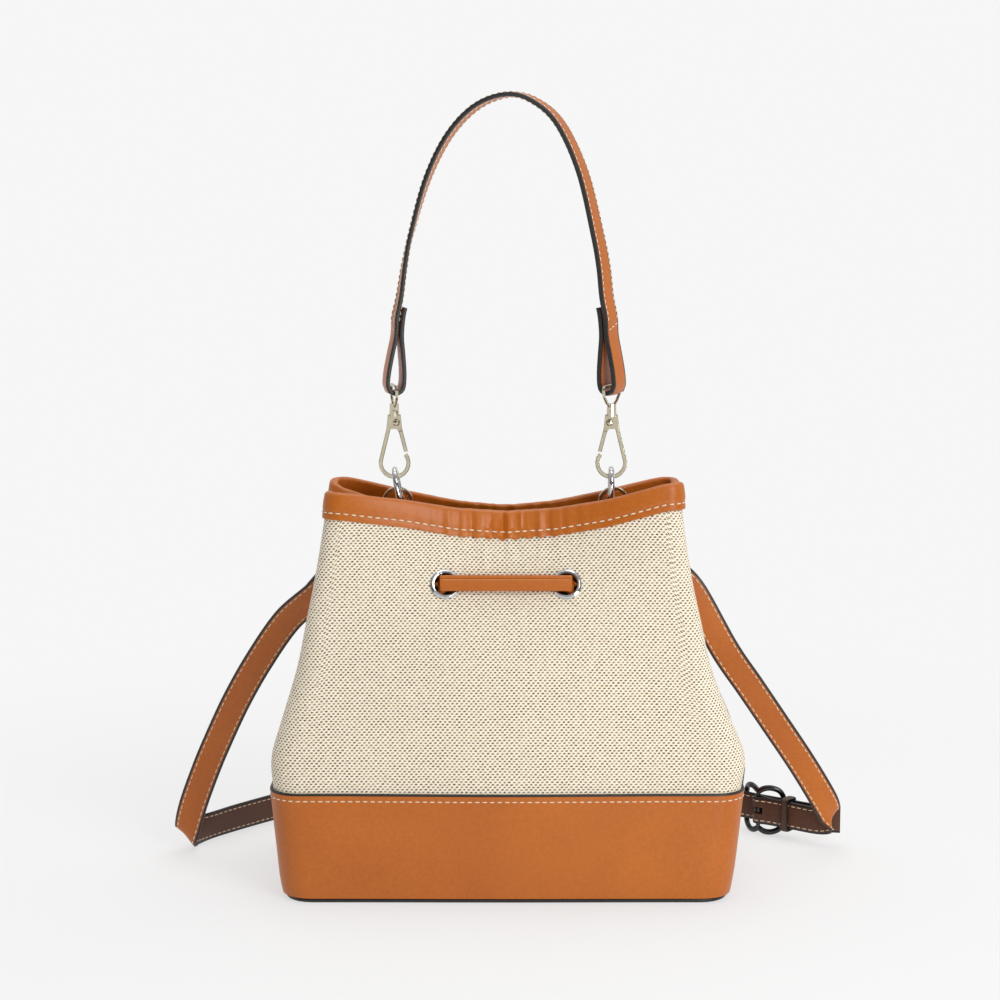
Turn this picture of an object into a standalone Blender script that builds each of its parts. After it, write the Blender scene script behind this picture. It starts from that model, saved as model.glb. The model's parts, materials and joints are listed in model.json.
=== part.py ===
"""A small bucket bag: canvas body on a leather base, top handle and long strap on swivel snap hooks.

Frame: origin at the centre of the underside of the base, +X to the bag's right as seen from the front,
+Y to the back, +Z up. Metres throughout.
"""

import math

import bmesh
import bpy
import numpy as np
from mathutils import Matrix, Vector

MM = 0.001

# Driving dimensions
BASE_SEAM_HEIGHT = 66 * MM
GAP = 0.3 * MM
CANVAS = 1.2 * MM
LINING = 0.7 * MM
BASE_LEATHER = 1.6 * MM
BINDING = 1.2 * MM
BINDING_DROP = 14.5 * MM

# Body sections from the floor up: height, left and right half-width, corner depth, centre depth, how far the
# groove's floor lies from the middle, depth of the ear's inner side, half-width of the groove's floor, corner radius
SECTIONS = (
    np.array(
        [
            (0, 131, 131.5, 68.5, 69, 141, 36, 12.3, 28),
            (4, 132.5, 133, 69.3, 70, 141, 36, 12.3, 29),
            (12, 134, 134.5, 69.8, 71, 141, 36, 12.3, 31),
            (25, 135.3, 136.3, 70, 71.5, 141, 36, 12.3, 31),
            (66, 139.1, 140.5, 70, 72, 140.5, 36, 12.3, 31),
            (85, 139.8, 142.6, 68, 70, 134, 35, 12.3, 30),
            (104, 134.8, 135.3, 64, 66.5, 123.5, 32, 12.3, 26),
            (137, 125.1, 122.8, 55, 57, 103.5, 26, 12.3, 18),
            (164, 119.6, 116.8, 48, 47, 86, 21, 12.3, 13),
            (190, 114.5, 111.5, 41, 33, 70, 16, 12.3, 11),
            (221, 109.2, 107, 33.5, 17, 55.5, 11.5, 12.3, 9.5),
            (246, 106.5, 105, 28.5, 7, 54.5, 8, 12.3, 8.5),
        ]
    )
    * MM
)
EAR_RADIUS = 7.5 * MM
GROOVE_RADIUS = 5 * MM
SHORTEST_CUT = 2 * MM
ARC_STEPS = 3

# The long edges between the corners: how far along each point lies and how much of the centre depth it has
FRONT_POINTS = ((0.0, 1.0), (0.3, 0.82), (0.62, 0.34))

# Height of the rim over the points of the outline, going round from the front centre to the right
FRONT_RIM = {"right": (226.0, 228.3, 234.5, 245), "left": (226.0, 228.3, 234.5, 239.5)}
BACK_RIM = (226.0, 228.3, 233.5, 241.5)
GROOVE_RIM = 223.5

# Rings: half-width and the heights of the bar and of the top, to the wire's centre
RING_X = {"left": -64.5 * MM, "right": 64.0 * MM}
RING_LEAN = {"left": math.radians(-10), "right": 0.0}
RING_BAR_Z = 232.5 * MM
RING_HEIGHT = 18.8 * MM
RING_HALF_WIDTH = 8.8 * MM
RING_WIRE = 1.7 * MM
TAB_Y = -2.6 * MM
TAB_WIDTH = 8.0 * MM
TAB_LEATHER = 1.4 * MM

# Snap hooks, in their own frame: the bottom of the hook at the origin, the swivel along +Z
HOOK_RADIUS = 8.5 * MM
HOOK_BAR = 2.4 * MM
HOOK_DEPTH = 3.2 * MM
HOOK_TOP = 38.0 * MM
PLATE_BOTTOM = 29.3 * MM
RIVET_Z = 33.4 * MM
EYE_BAR_Z = 55.6 * MM
EYE_WIRE = 0.95 * MM

# Top handle
HANDLE_WIDTH = 15.0 * MM
HANDLE_THICKNESS = 3.2 * MM
HANDLE_PIVOT_Z = 246.6 * MM

# Long strap
STRAP_WIDTH = 18.0 * MM
STRAP_THICKNESS = 2.0 * MM
STRAP_HOOK_Y = 3.4 * MM
STRAP_HOOK_BACK = 5.8 * MM
STRAP_ANGLE = math.radians(41)
BUCKLE_CENTRE = np.array([165, 80, 16.3]) * MM
BUCKLE_ALONG = np.array([0.8, -0.6, 0.0])
BUCKLE_TOWARD = np.array([-0.6, -0.8, 0.0])

# Drawstring
EYELET_X = 36.2 * MM
EYELET_Z = 186.5 * MM
EYELET_HOLE = 6.5 * MM
EYELET_BARREL = 7.0 * MM
EYELET_OUTER = 9.2 * MM
STRING_WIDTH = 9.8 * MM
STRING_THICKNESS = 3.2 * MM

LEATHER = ("leather_tan", (0.48, 0.14, 0.025), 0.45, 0.0)
LEATHER_DARK = ("leather_inside", (0.09, 0.035, 0.015), 0.6, 0.0)
EDGE_PAINT = ("edge_paint", (0.01, 0.01, 0.01), 0.5, 0.0)
CANVAS_CLOTH = ("canvas", (0.78, 0.7, 0.56), 0.9, 0.0)
LINING_CLOTH = ("lining", (0.42, 0.3, 0.18), 0.9, 0.0)
BOARD = ("board", (0.2, 0.16, 0.12), 0.9, 0.0)
CHROME = ("chrome", (0.6, 0.6, 0.6), 0.15, 1.0)
PALE_GOLD = ("pale_gold", (0.62, 0.56, 0.42), 0.2, 1.0)
GUNMETAL = ("gunmetal", (0.08, 0.08, 0.08), 0.3, 1.0)

X_AXIS = np.array([1.0, 0.0, 0.0])
Y_AXIS = np.array([0.0, 1.0, 0.0])
Z_AXIS = np.array([0.0, 0.0, 1.0])


# Scene and material helpers


def clear_scene():
    for thing in list(bpy.data.objects):
        bpy.data.objects.remove(thing, do_unlink=True)


def material(kind):
    name, colour, roughness, metallic = kind
    found = bpy.data.materials.get(name)
    if found:
        return found
    made = bpy.data.materials.new(name)
    made.use_nodes = True
    shader = made.node_tree.nodes["Principled BSDF"]
    shader.inputs["Base Color"].default_value = (*colour, 1)
    shader.inputs["Roughness"].default_value = roughness
    shader.inputs["Metallic"].default_value = metallic
    return made


def place(name, mesh, kind, origin=None):
    """One object, with its origin at the given point and its vertices kept where they are."""
    item = bpy.data.objects.new(name, mesh)
    bpy.context.scene.collection.objects.link(item)
    mesh.materials.clear()
    mesh.materials.append(material(kind))
    if origin is not None:
        mesh.transform(Matrix.Translation(-Vector(origin)))
        item.location = Vector(origin)
    return item


def mesh_from(points, faces, name="shape"):
    mesh = bpy.data.meshes.new(name)
    mesh.from_pydata([tuple(map(float, p)) for p in points], [], faces)
    work = bmesh.new()
    work.from_mesh(mesh)
    bmesh.ops.recalc_face_normals(work, faces=work.faces)
    bmesh.ops.triangulate(work, faces=work.faces)
    work.to_mesh(mesh)
    work.free()
    mesh.shade_smooth()
    mesh.set_sharp_from_angle(angle=math.radians(40))
    return mesh


def combine(target, tool, operation):
    """Joins or cuts two meshes with an exact Boolean and returns the new mesh."""
    body = bpy.data.objects.new("work_body", target)
    other = bpy.data.objects.new("work_tool", tool)
    for item in (body, other):
        bpy.context.scene.collection.objects.link(item)
    change = body.modifiers.new("change", "BOOLEAN")
    change.solver = "EXACT"
    change.operation = operation
    change.object = other
    graph = bpy.context.evaluated_depsgraph_get()
    result = bpy.data.meshes.new_from_object(body.evaluated_get(graph))
    for item in (body, other):
        bpy.data.objects.remove(item, do_unlink=True)
    result.shade_smooth()
    result.set_sharp_from_angle(angle=math.radians(40))
    return result


# Geometry helpers


def unit(vector):
    return vector / np.linalg.norm(vector)


def smooth_path(points, spacing):
    """A Catmull-Rom curve through the points, sampled about every `spacing`."""
    points = np.asarray(points, float)
    padded = np.vstack([2 * points[0] - points[1], points, 2 * points[-1] - points[-2]])
    out = []
    for i in range(1, len(padded) - 2):
        p0, p1, p2, p3 = padded[i - 1 : i + 3]
        steps = max(1, round(np.linalg.norm((p2 - p1)[:3]) / spacing))
        for t in np.arange(steps) / steps:
            out.append(
                0.5
                * (
                    2 * p1
                    + (p2 - p0) * t
                    + (2 * p0 - 5 * p1 + 4 * p2 - p3) * t**2
                    + (3 * p1 - p0 - 3 * p2 + p3) * t**3
                )
            )
    out.append(points[-1])
    return np.array(out)


def sweep(path, across, section, closed=False):
    """Moves a section along a path. `across` gives the direction of the section's first axis."""
    path = np.asarray(path, float)
    count = len(path)
    across = np.broadcast_to(np.asarray(across, float), path.shape)
    if closed:
        tangents = np.roll(path, -1, 0) - np.roll(path, 1, 0)
    else:
        tangents = np.gradient(path, axis=0)
    points = []
    for place_, tangent, side in zip(path, tangents, across):
        tangent = unit(tangent)
        side = unit(side - tangent * np.dot(side, tangent))
        normal = np.cross(tangent, side)
        points += [place_ + side * a + normal * b for a, b in section]
    size = len(section)
    faces = []
    for i in range(count if closed else count - 1):
        for j in range(size):
            k = (j + 1) % size
            ii = (i + 1) % count
            faces.append((i * size + j, i * size + k, ii * size + k, ii * size + j))
    if not closed:
        faces.append(tuple(range(size)))
        faces.append(tuple((count - 1) * size + j for j in range(size)))
    return mesh_from(points, faces)


def flat_section(width, thickness):
    w, t = width / 2, thickness / 2
    return [(-w, -t), (w, -t), (w, t), (-w, t)]


def soft_section(width, thickness):
    """A flat section with its four corners cut."""
    w, t = width / 2, thickness / 2
    c = thickness * 0.28
    return [(-w, -t + c), (-w + c, -t), (w - c, -t), (w, -t + c), (w, t - c), (w - c, t), (-w + c, t), (-w, t - c)]


def round_section(radius, sides=8):
    turn = 2 * math.pi / sides
    return [(radius * math.cos(i * turn), radius * math.sin(i * turn)) for i in range(sides)]


def turned(profile, sides):
    """A solid turned about +Z from (radius, height) points; a radius of 0 lies on the axis."""
    points = []
    rows = []
    for radius, height in profile:
        if radius == 0:
            rows.append([len(points)])
            points.append((0, 0, height))
            continue
        rows.append(list(range(len(points), len(points) + sides)))
        for i in range(sides):
            angle = 2 * math.pi * i / sides
            points.append((radius * math.cos(angle), radius * math.sin(angle), height))
    closed_ring = profile[0][0] != 0
    pairs = list(zip(rows, rows[1:] + rows[:1] if closed_ring else rows[1:]))
    faces = []
    for lower, upper in pairs:
        for i in range(sides):
            k = (i + 1) % sides
            if len(lower) == 1:
                faces.append((lower[0], upper[i], upper[k]))
            elif len(upper) == 1:
                faces.append((lower[i], lower[k], upper[0]))
            else:
                faces.append((lower[i], lower[k], upper[k], upper[i]))
    return mesh_from(points, faces)


def plate(outline, low, high, edge=0.0):
    """A prism of an (x, z) outline between two depths, its rims cut by `edge`."""
    outline = np.asarray(outline, float)
    step = np.roll(outline, -1, 0) - np.roll(outline, 1, 0)
    inward = np.column_stack([-step[:, 1], step[:, 0]])
    inward /= np.linalg.norm(inward, axis=1)[:, None]
    area = np.sum(outline[:, 0] * np.roll(outline[:, 1], -1) - np.roll(outline[:, 0], -1) * outline[:, 1])
    if area < 0:
        inward = -inward
    small = outline + inward * edge
    rows = [(outline, low), (outline, high)]
    if edge:
        rows = [(small, low), (outline, low + edge), (outline, high - edge), (small, high)]
    points = [(x, y, z) for ring, y in rows for x, z in ring]
    size = len(outline)
    faces = [tuple(range(size)), tuple((len(rows) - 1) * size + j for j in range(size))]
    for i in range(len(rows) - 1):
        for j in range(size):
            k = (j + 1) % size
            faces.append((i * size + j, i * size + k, (i + 1) * size + k, (i + 1) * size + j))
    return mesh_from(points, faces)


def box(low, high):
    low, high = np.array(low), np.array(high)
    corners = [(low[0], low[2]), (high[0], low[2]), (high[0], high[2]), (low[0], high[2])]
    return plate(corners, low[1], high[1])


def frame_matrix(origin, x_dir, z_dir):
    """Places a piece made in its own frame: its X and Z go along the given directions."""
    z = Vector(z_dir).normalized()
    x = Vector(x_dir)
    x = (x - z * x.dot(z)).normalized()
    y = z.cross(x)
    turn = Matrix((x, y, z)).transposed().to_4x4()
    return Matrix.Translation(Vector(origin)) @ turn


# Body surface


def rounded_outline(corners):
    """A closed outline through (x, y, radius) corners, with the same number of points at every height."""
    spots = [np.array(corner[:2], float) for corner in corners]
    count = len(corners)
    out = []
    for i, corner in enumerate(spots):
        radius = corners[i][2]
        if radius == 0:
            out.append([corner])
            continue
        before, after = spots[i - 1] - corner, spots[(i + 1) % count] - corner
        reach = 0.48 * min(np.linalg.norm(before), np.linalg.norm(after))
        before, after = unit(before), unit(after)
        half = max(math.acos(np.clip(np.dot(before, after), -1, 1)) / 2, 1e-3)
        tangent = min(max(radius / math.tan(half), SHORTEST_CUT), reach)
        start, end = corner + before * tangent, corner + after * tangent
        bulge = corner - (start + end) / 2
        depth = np.linalg.norm(bulge)
        if depth < 1e-9:
            out.append([start + (end - start) * t for t in np.linspace(0, 1, ARC_STEPS + 1)])
            continue
        centre = corner - bulge / depth * (tangent / math.cos(half))
        first, last = start - centre, end - centre
        side = np.sign(first[0] * last[1] - first[1] * last[0])
        points = []
        for angle in np.linspace(0, side * (math.pi - 2 * half), ARC_STEPS + 1):
            turn = np.array([[math.cos(angle), -math.sin(angle)], [math.sin(angle), math.cos(angle)]])
            points.append(centre + turn @ first)
        out.append(points)
    return out


def section_at(height):
    return [np.interp(height, SECTIONS[:, 0], SECTIONS[:, i]) for i in range(1, SECTIONS.shape[1])]


def outline_at(height):
    """The body's outer outline at one height, going round from the front centre to the right."""
    left, right, b, c, groove, ear, floor, radius = section_at(height)
    edges = {}
    ends = {}
    for side, a in (("left", left), ("right", right)):
        inner = min(groove, a)
        sign = -1 if side == "left" else 1
        edges[side] = [(sign * (a - radius) * along, b + (c - b) * share, 0) for along, share in FRONT_POINTS]
        ends[side] = [
            (sign * a, b, radius),
            (sign * a, ear, EAR_RADIUS),
            (sign * (a + inner) / 2, (ear + floor) / 2, 0),
            (sign * inner, floor, GROOVE_RADIUS),
        ]
    front = {side: [(x, -y, r) for x, y, r in rows] for side, rows in edges.items()}
    front_ends = {side: [(x, -y, r) for x, y, r in rows] for side, rows in ends.items()}
    ring = [
        *front["right"],
        *front_ends["right"],
        (ends["right"][-1][0], 0, 0),
        *reversed(ends["right"]),
        *reversed(edges["right"][1:]),
        *edges["left"],
        *ends["left"],
        (ends["left"][-1][0], 0, 0),
        *reversed(front_ends["left"]),
        *reversed(front["left"][1:]),
    ]
    return rounded_outline(ring)


def outward(outline):
    step = np.roll(outline, -1, 0) - np.roll(outline, 1, 0)
    normal = np.column_stack([step[:, 1], -step[:, 0]])
    return normal / np.linalg.norm(normal, axis=1)[:, None]


def rim_line():
    """Height of the canvas's top edge at every point of the outline."""
    middle_right = (GROOVE_RIM + 5, GROOVE_RIM, GROOVE_RIM, GROOVE_RIM, GROOVE_RIM + 5)
    right = [*FRONT_RIM["right"], FRONT_RIM["right"][3] - 1, *middle_right, BACK_RIM[3], *reversed(BACK_RIM)]
    left = [*FRONT_RIM["left"], FRONT_RIM["left"][3] - 1, *middle_right, BACK_RIM[3], *reversed(BACK_RIM)]
    around = [*right, *reversed(left[1:-1])]
    line = np.concatenate([[h] * len(points) for h, points in zip(around, outline_at(SECTIONS[-1, 0]))])
    for _ in range(2):
        line = (np.roll(line, 1) + 2 * line + np.roll(line, -1)) / 4
    return line * MM


RIM_LINE = rim_line()
COLUMNS = len(RIM_LINE)
OUTLINES = np.array([np.concatenate(outline_at(height)) for height in SECTIONS[:, 0]])
NORMALS = np.array([outward(outline) for outline in OUTLINES])
ON_THE_SIDE = [k for k in range(COLUMNS) if abs(OUTLINES[-1, k, 1]) < 1e-9 and abs(OUTLINES[-1, k, 0]) > 20 * MM]
SIDE_RIGHT, SIDE_LEFT = sorted(ON_THE_SIDE, key=lambda k: -OUTLINES[-1, k, 0])


def skin(column, height, offset=0.0):
    """A point of the body: its column round the outline, its height and its distance outside the canvas."""
    k = int(np.clip(np.searchsorted(SECTIONS[:, 0], height) - 1, 0, len(SECTIONS) - 2))
    t = (height - SECTIONS[k, 0]) / (SECTIONS[k + 1, 0] - SECTIONS[k, 0])
    spot = OUTLINES[k, column] * (1 - t) + OUTLINES[k + 1, column] * t
    normal = unit(NORMALS[k, column] * (1 - t) + NORMALS[k + 1, column] * t)
    return np.array([*(spot + normal * offset), height])


def columns_between(first, last):
    count = (last - first) % COLUMNS
    return [(first + i) % COLUMNS for i in range(count + 1)]


FRONT_COLUMNS = columns_between(SIDE_LEFT, SIDE_RIGHT)
BACK_COLUMNS = columns_between(SIDE_RIGHT, SIDE_LEFT)


def skin_panel(columns, heights, inner, outer, trim):
    """A panel between two offsets of the body; heights(column) lists its rows from the bottom up."""
    grids = []
    for offset in (outer, inner):
        grid = np.array([[skin(c, h, offset) for h in heights(c)] for c in columns])
        for end, beside in ((0, 1), (-1, -2)):
            step = grid[beside] - grid[end]
            grid[end] += step * (trim / np.linalg.norm(step[:, :2], axis=1))[:, None]
        grids.append(grid)
    wide, tall = grids[0].shape[:2]
    points = np.concatenate([grid.reshape(-1, 3) for grid in grids])
    far = wide * tall
    faces = []
    for i in range(wide - 1):
        for j in range(tall - 1):
            a, b = i * tall + j, (i + 1) * tall + j
            faces.append((a, b, b + 1, a + 1))
            faces.append((far + a, far + a + 1, far + b + 1, far + b))
        for a, b in ((i * tall, (i + 1) * tall), ((i + 1) * tall - 1, (i + 2) * tall - 1)):
            faces.append((a, b, far + b, far + a))
    for j in range(tall - 1):
        for a in (j, (wide - 1) * tall + j):
            faces.append((a, a + 1, far + a + 1, far + a))
    return mesh_from(points, faces)


def ring_of(columns, section, closed_end=False):
    """Rings of points, section(column) listing each column's own; the ends are capped or joined up."""
    rows = np.array([section(c) for c in columns])
    count, size = rows.shape[:2]
    points = rows.reshape(-1, 3)
    faces = []
    for i in range(count):
        ii = (i + 1) % count
        for j in range(size if not closed_end else size - 1):
            k = (j + 1) % size
            faces.append((i * size + j, i * size + k, ii * size + k, ii * size + j))
    if closed_end:
        faces.append(tuple(i * size for i in range(count)))
        faces.append(tuple(i * size + size - 1 for i in range(count)))
    return mesh_from(points, faces)


def rows_up_to_rim(levels):
    def heights(column):
        top = RIM_LINE[column]
        covered = top - BINDING_DROP
        return [*levels, levels[-1] + 0.75 * (covered - levels[-1]), covered, top]

    return heights


# Bag body


LINING_OUTSIDE = -(CANVAS + GAP)
LINING_INSIDE = LINING_OUTSIDE - LINING
UPPER_LEVELS = [h * MM for h in (104, 137, 164, 190)]


def make_bottom():
    everywhere = list(range(COLUMNS))
    panel = ring_of(everywhere, lambda c: [skin(c, 0, -3.6 * MM) + Z_AXIS * z for z in (0, 2.4 * MM)], True)
    place("bottom_panel", panel, LEATHER_DARK)
    corners = ((-3.3, 0), (0.3, 0), (0.9, 1.3), (0.3, 2.6), (-3.3, 2.6))
    welt = ring_of(everywhere, lambda c: [skin(c, 0, r * MM) + Z_AXIS * z * MM for r, z in corners])
    place("bottom_welt", welt, EDGE_PAINT)
    board = ring_of(everywhere, lambda c: [skin(c, 2.9 * MM, -4 * MM), skin(c, 4.5 * MM, -4 * MM)], True)
    place("stiffener_board", board, BOARD)


def make_base_band():
    levels = [2.9 * MM, 12 * MM, 25 * MM, BASE_SEAM_HEIGHT]
    for name, columns in (("base_band_front", FRONT_COLUMNS), ("base_band_back", BACK_COLUMNS)):
        band = skin_panel(columns, lambda c: levels, GAP, GAP + BASE_LEATHER, 1.6 * MM)
        place(name, band, LEATHER)


def make_canvas(cutters):
    levels = [58 * MM, BASE_SEAM_HEIGHT, 85 * MM, *UPPER_LEVELS]
    for name, columns in (("canvas_front", FRONT_COLUMNS), ("canvas_back", BACK_COLUMNS)):
        panel = skin_panel(columns, rows_up_to_rim(levels), -CANVAS, 0, 0.2 * MM)
        for cutter in cutters:
            if (cutter["y"] < 0) == (name == "canvas_front"):
                panel = combine(panel, cutter["mesh"], "DIFFERENCE")
        place(name, panel, CANVAS_CLOTH)


def make_lining(cutters):
    levels = [4.8 * MM, 14 * MM, BASE_SEAM_HEIGHT, *UPPER_LEVELS]
    heights = rows_up_to_rim(levels)

    def section(column):
        outside = [skin(column, h, LINING_OUTSIDE) for h in heights(column)]
        inside = [skin(column, h, LINING_INSIDE) for h in heights(column)]
        inside[0] = skin(column, levels[0] + LINING, LINING_INSIDE - 1 * MM)
        return [*outside, *reversed(inside)]

    lining = ring_of(list(range(COLUMNS)), section, True)
    for cutter in cutters:
        lining = combine(lining, cutter["mesh"], "DIFFERENCE")
    place("lining", lining, LINING_CLOTH)


def make_rim_binding():
    outside = GAP + BINDING
    inside = LINING_INSIDE - GAP - BINDING
    top = GAP + BINDING
    shoulder = 0.9 * MM
    corners = (
        (GAP, -BINDING_DROP),
        (outside, -BINDING_DROP),
        (outside, 0.2 * MM),
        (outside - shoulder, top),
        (inside + shoulder, top),
        (inside, 0.2 * MM),
        (inside, -BINDING_DROP),
        (inside + BINDING, -BINDING_DROP),
        (inside + BINDING, GAP),
        (GAP, GAP),
    )
    rim = ring_of(list(range(COLUMNS)), lambda c: [skin(c, RIM_LINE[c] + z, r) for r, z in corners])
    place("rim_binding", rim, LEATHER)


def make_side_seams():
    """The bound edges that stand out along the middle of each side."""
    stand = 5.2 * MM
    clear = 0.5 * MM
    levels = [4.5 * MM, 12 * MM, 25 * MM, BASE_SEAM_HEIGHT, 85 * MM, *UPPER_LEVELS]
    for name, column in (("side_seam_right", SIDE_RIGHT), ("side_seam_left", SIDE_LEFT)):
        path = [skin(column, h, clear + stand / 2) for h in levels]
        place(name, sweep(path, X_AXIS, flat_section(stand, 2.2 * MM)), EDGE_PAINT)


# Eyelets and drawstring


def wall_point(x, height, back):
    """The point of the front or back panel at this x and height."""
    columns = [k for k in range(COLUMNS) if OUTLINES[0, k, 1] * (1 if back else -1) > 55 * MM]
    line = np.array(sorted(skin(k, height)[:2].tolist() for k in columns))
    return np.array([x, np.interp(x, line[:, 0], line[:, 1]), height])


def wall_frame(x, height, back):
    """A point on the front or back panel, with the panel's sideways, upward and outward directions."""
    near = 6 * MM
    sideways = unit(wall_point(x + near, height, back) - wall_point(x - near, height, back))
    up = unit(wall_point(x, height + near, back) - wall_point(x, height - near, back))
    normal = unit(np.cross(sideways, up)) * (-1 if back else 1)
    return wall_point(x, height, back), sideways, up, normal


def eyelet_places():
    for back in (False, True):
        for side, x in (("left", -EYELET_X), ("right", EYELET_X)):
            yield f"{'back' if back else 'front'}_{side}", *wall_frame(x, EYELET_Z, back)


def eyelet_cutters():
    cutters = []
    for _, spot, _, _, normal in eyelet_places():
        cut = EYELET_BARREL + 0.4 * MM
        tool = turned([(0, -6 * MM), (cut, -6 * MM), (cut, 6 * MM), (0, 6 * MM)], 20)
        tool.transform(frame_matrix(spot, X_AXIS, normal))
        cutters.append({"mesh": tool, "y": spot[1]})
    return cutters


def make_eyelets():
    profile = (
        (EYELET_HOLE, -3.3 * MM),
        (EYELET_BARREL, -3.3 * MM),
        (EYELET_BARREL, 0.75 * MM),
        (EYELET_OUTER, 0.75 * MM),
        (EYELET_OUTER, 1.0 * MM),
        (EYELET_OUTER - 1.3 * MM, 1.7 * MM),
        (EYELET_HOLE + 0.3 * MM, 1.5 * MM),
    )
    hole = EYELET_BARREL + 0.4 * MM
    washer_profile = (
        (hole, -3.3 * MM),
        (EYELET_OUTER, -3.3 * MM),
        (EYELET_OUTER, -2.8 * MM),
        (hole, -2.8 * MM),
    )
    for name, spot, _, _, normal in eyelet_places():
        matrix = frame_matrix(spot, X_AXIS, normal)
        eyelet = turned(profile, 20)
        eyelet.transform(matrix)
        place("eyelet_" + name, eyelet, CHROME)
        washer = turned(washer_profile, 16)
        washer.transform(matrix)
        place("washer_" + name, washer, CHROME)


def make_drawstring():
    """One flat rolled cord: out at the back, through the bag, across the front and back again."""
    spots = {name: frame for name, *frame in eyelet_places()}
    bar_out = 3.5
    turn = ((-2.4, bar_out), (0.4, 2.9), (2.0, 1.2), (2.3, -1.5), (2.3, -7))
    points = []
    for name, inwards, reverse in (
        ("back_right", 1, False),
        ("front_right", 1, True),
        ("front_left", -1, False),
        ("back_left", -1, True),
    ):
        spot, sideways, up, normal = spots[name]
        run = []
        for along, out in turn:
            run.append([*(spot + sideways * along * inwards * MM + normal * out * MM), *up])
        points += reversed(run) if reverse else run
    spot, _, up, normal = spots["back_right"]
    line = spot + normal * bar_out * MM
    first = [GAP, line[1], line[2], *up]
    last = [-GAP, line[1], line[2], *up]
    middle = [first, [first[0] + 20 * MM, *first[1:]]]
    end = [[last[0] - 20 * MM, *last[1:]], last]
    path = smooth_path([*middle, *points, *end], 8 * MM)
    string = sweep(path[:, :3], path[:, 3:], soft_section(STRING_WIDTH, STRING_THICKNESS))
    place("drawstring", string, LEATHER)

    wall = 1.0 * MM
    half_wide = STRING_WIDTH / 2 + GAP + wall / 2
    half_thick = STRING_THICKNESS / 2 + GAP + wall / 2
    centre = np.array([0, line[1], line[2]])
    loop = loop_path(half_wide, half_thick, 1.4 * MM)
    path = [centre + up * a + normal * b for a, b in loop]
    place("drawstring_sleeve", sweep(path, X_AXIS, flat_section(24 * MM, wall), True), LEATHER)


def loop_path(half_a, half_b, corner):
    """A closed rectangle with round corners, about the middle."""
    out = []
    for sign_a, sign_b, start in ((1, 1, 0), (-1, 1, 90), (-1, -1, 180), (1, -1, 270)):
        for step in range(4):
            angle = math.radians(start + 30 * step)
            a = sign_a * (half_a - corner) + corner * math.cos(angle)
            out.append((a, sign_b * (half_b - corner) + corner * math.sin(angle)))
    return out


# Rings and tabs


def make_ring(side):
    sign = -1 if side == "left" else 1
    corner = 3 * MM
    top = RING_HEIGHT - RING_HALF_WIDTH
    path = []
    for start, centre_y in ((-90, RING_HALF_WIDTH - corner), (180, -(RING_HALF_WIDTH - corner))):
        if start == 180:
            for step in range(13):
                angle = math.radians(15 * step)
                path.append((RING_HALF_WIDTH * math.cos(angle), top + RING_HALF_WIDTH * math.sin(angle)))
        for step in range(4):
            angle = math.radians(start + 30 * step)
            path.append((centre_y + corner * math.cos(angle), corner + corner * math.sin(angle)))
    bar = np.array([RING_X[side], 0, RING_BAR_Z])
    points = [np.array([0, y, z]) for y, z in path]
    ring = sweep(points, X_AXIS, round_section(RING_WIRE), True)
    ring.transform(Matrix.Translation(Vector(bar)) @ Matrix.Rotation(RING_LEAN[side], 4, "Y"))
    place("ring_" + side, ring, CHROME, bar)

    round_bar = RING_WIRE + 0.35 * MM + TAB_LEATHER / 2
    inner_leg = ((3.6, -33.5), (-0.6, -23), (-2.6, -17.5), (-3.8, -10.5), (-3.6, -4.5))
    outer_leg = ((2.3, -5), (-1.6, -10.5), (-0.6, -17), (1.3, -22.2), (5.4, -32.8))
    over = [(-round_bar * math.cos(a), round_bar * math.sin(a)) for a in np.radians([0, 45, 90, 135, 180])]
    route = [*[(x * MM, z * MM) for x, z in inner_leg], *over, *[(x * MM, z * MM) for x, z in outer_leg]]
    path = [bar + X_AXIS * x * sign + Z_AXIS * z + Y_AXIS * TAB_Y for x, z in route]
    place("ring_tab_" + side, sweep(path, Y_AXIS, flat_section(TAB_WIDTH, TAB_LEATHER)), LEATHER)


# Snap hooks


def arc(centre, radius, start, end, steps):
    angles = np.radians(np.linspace(start, end, steps + 1))
    return [(centre[0] + radius * math.cos(a), centre[1] + radius * math.sin(a)) for a in angles]


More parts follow.
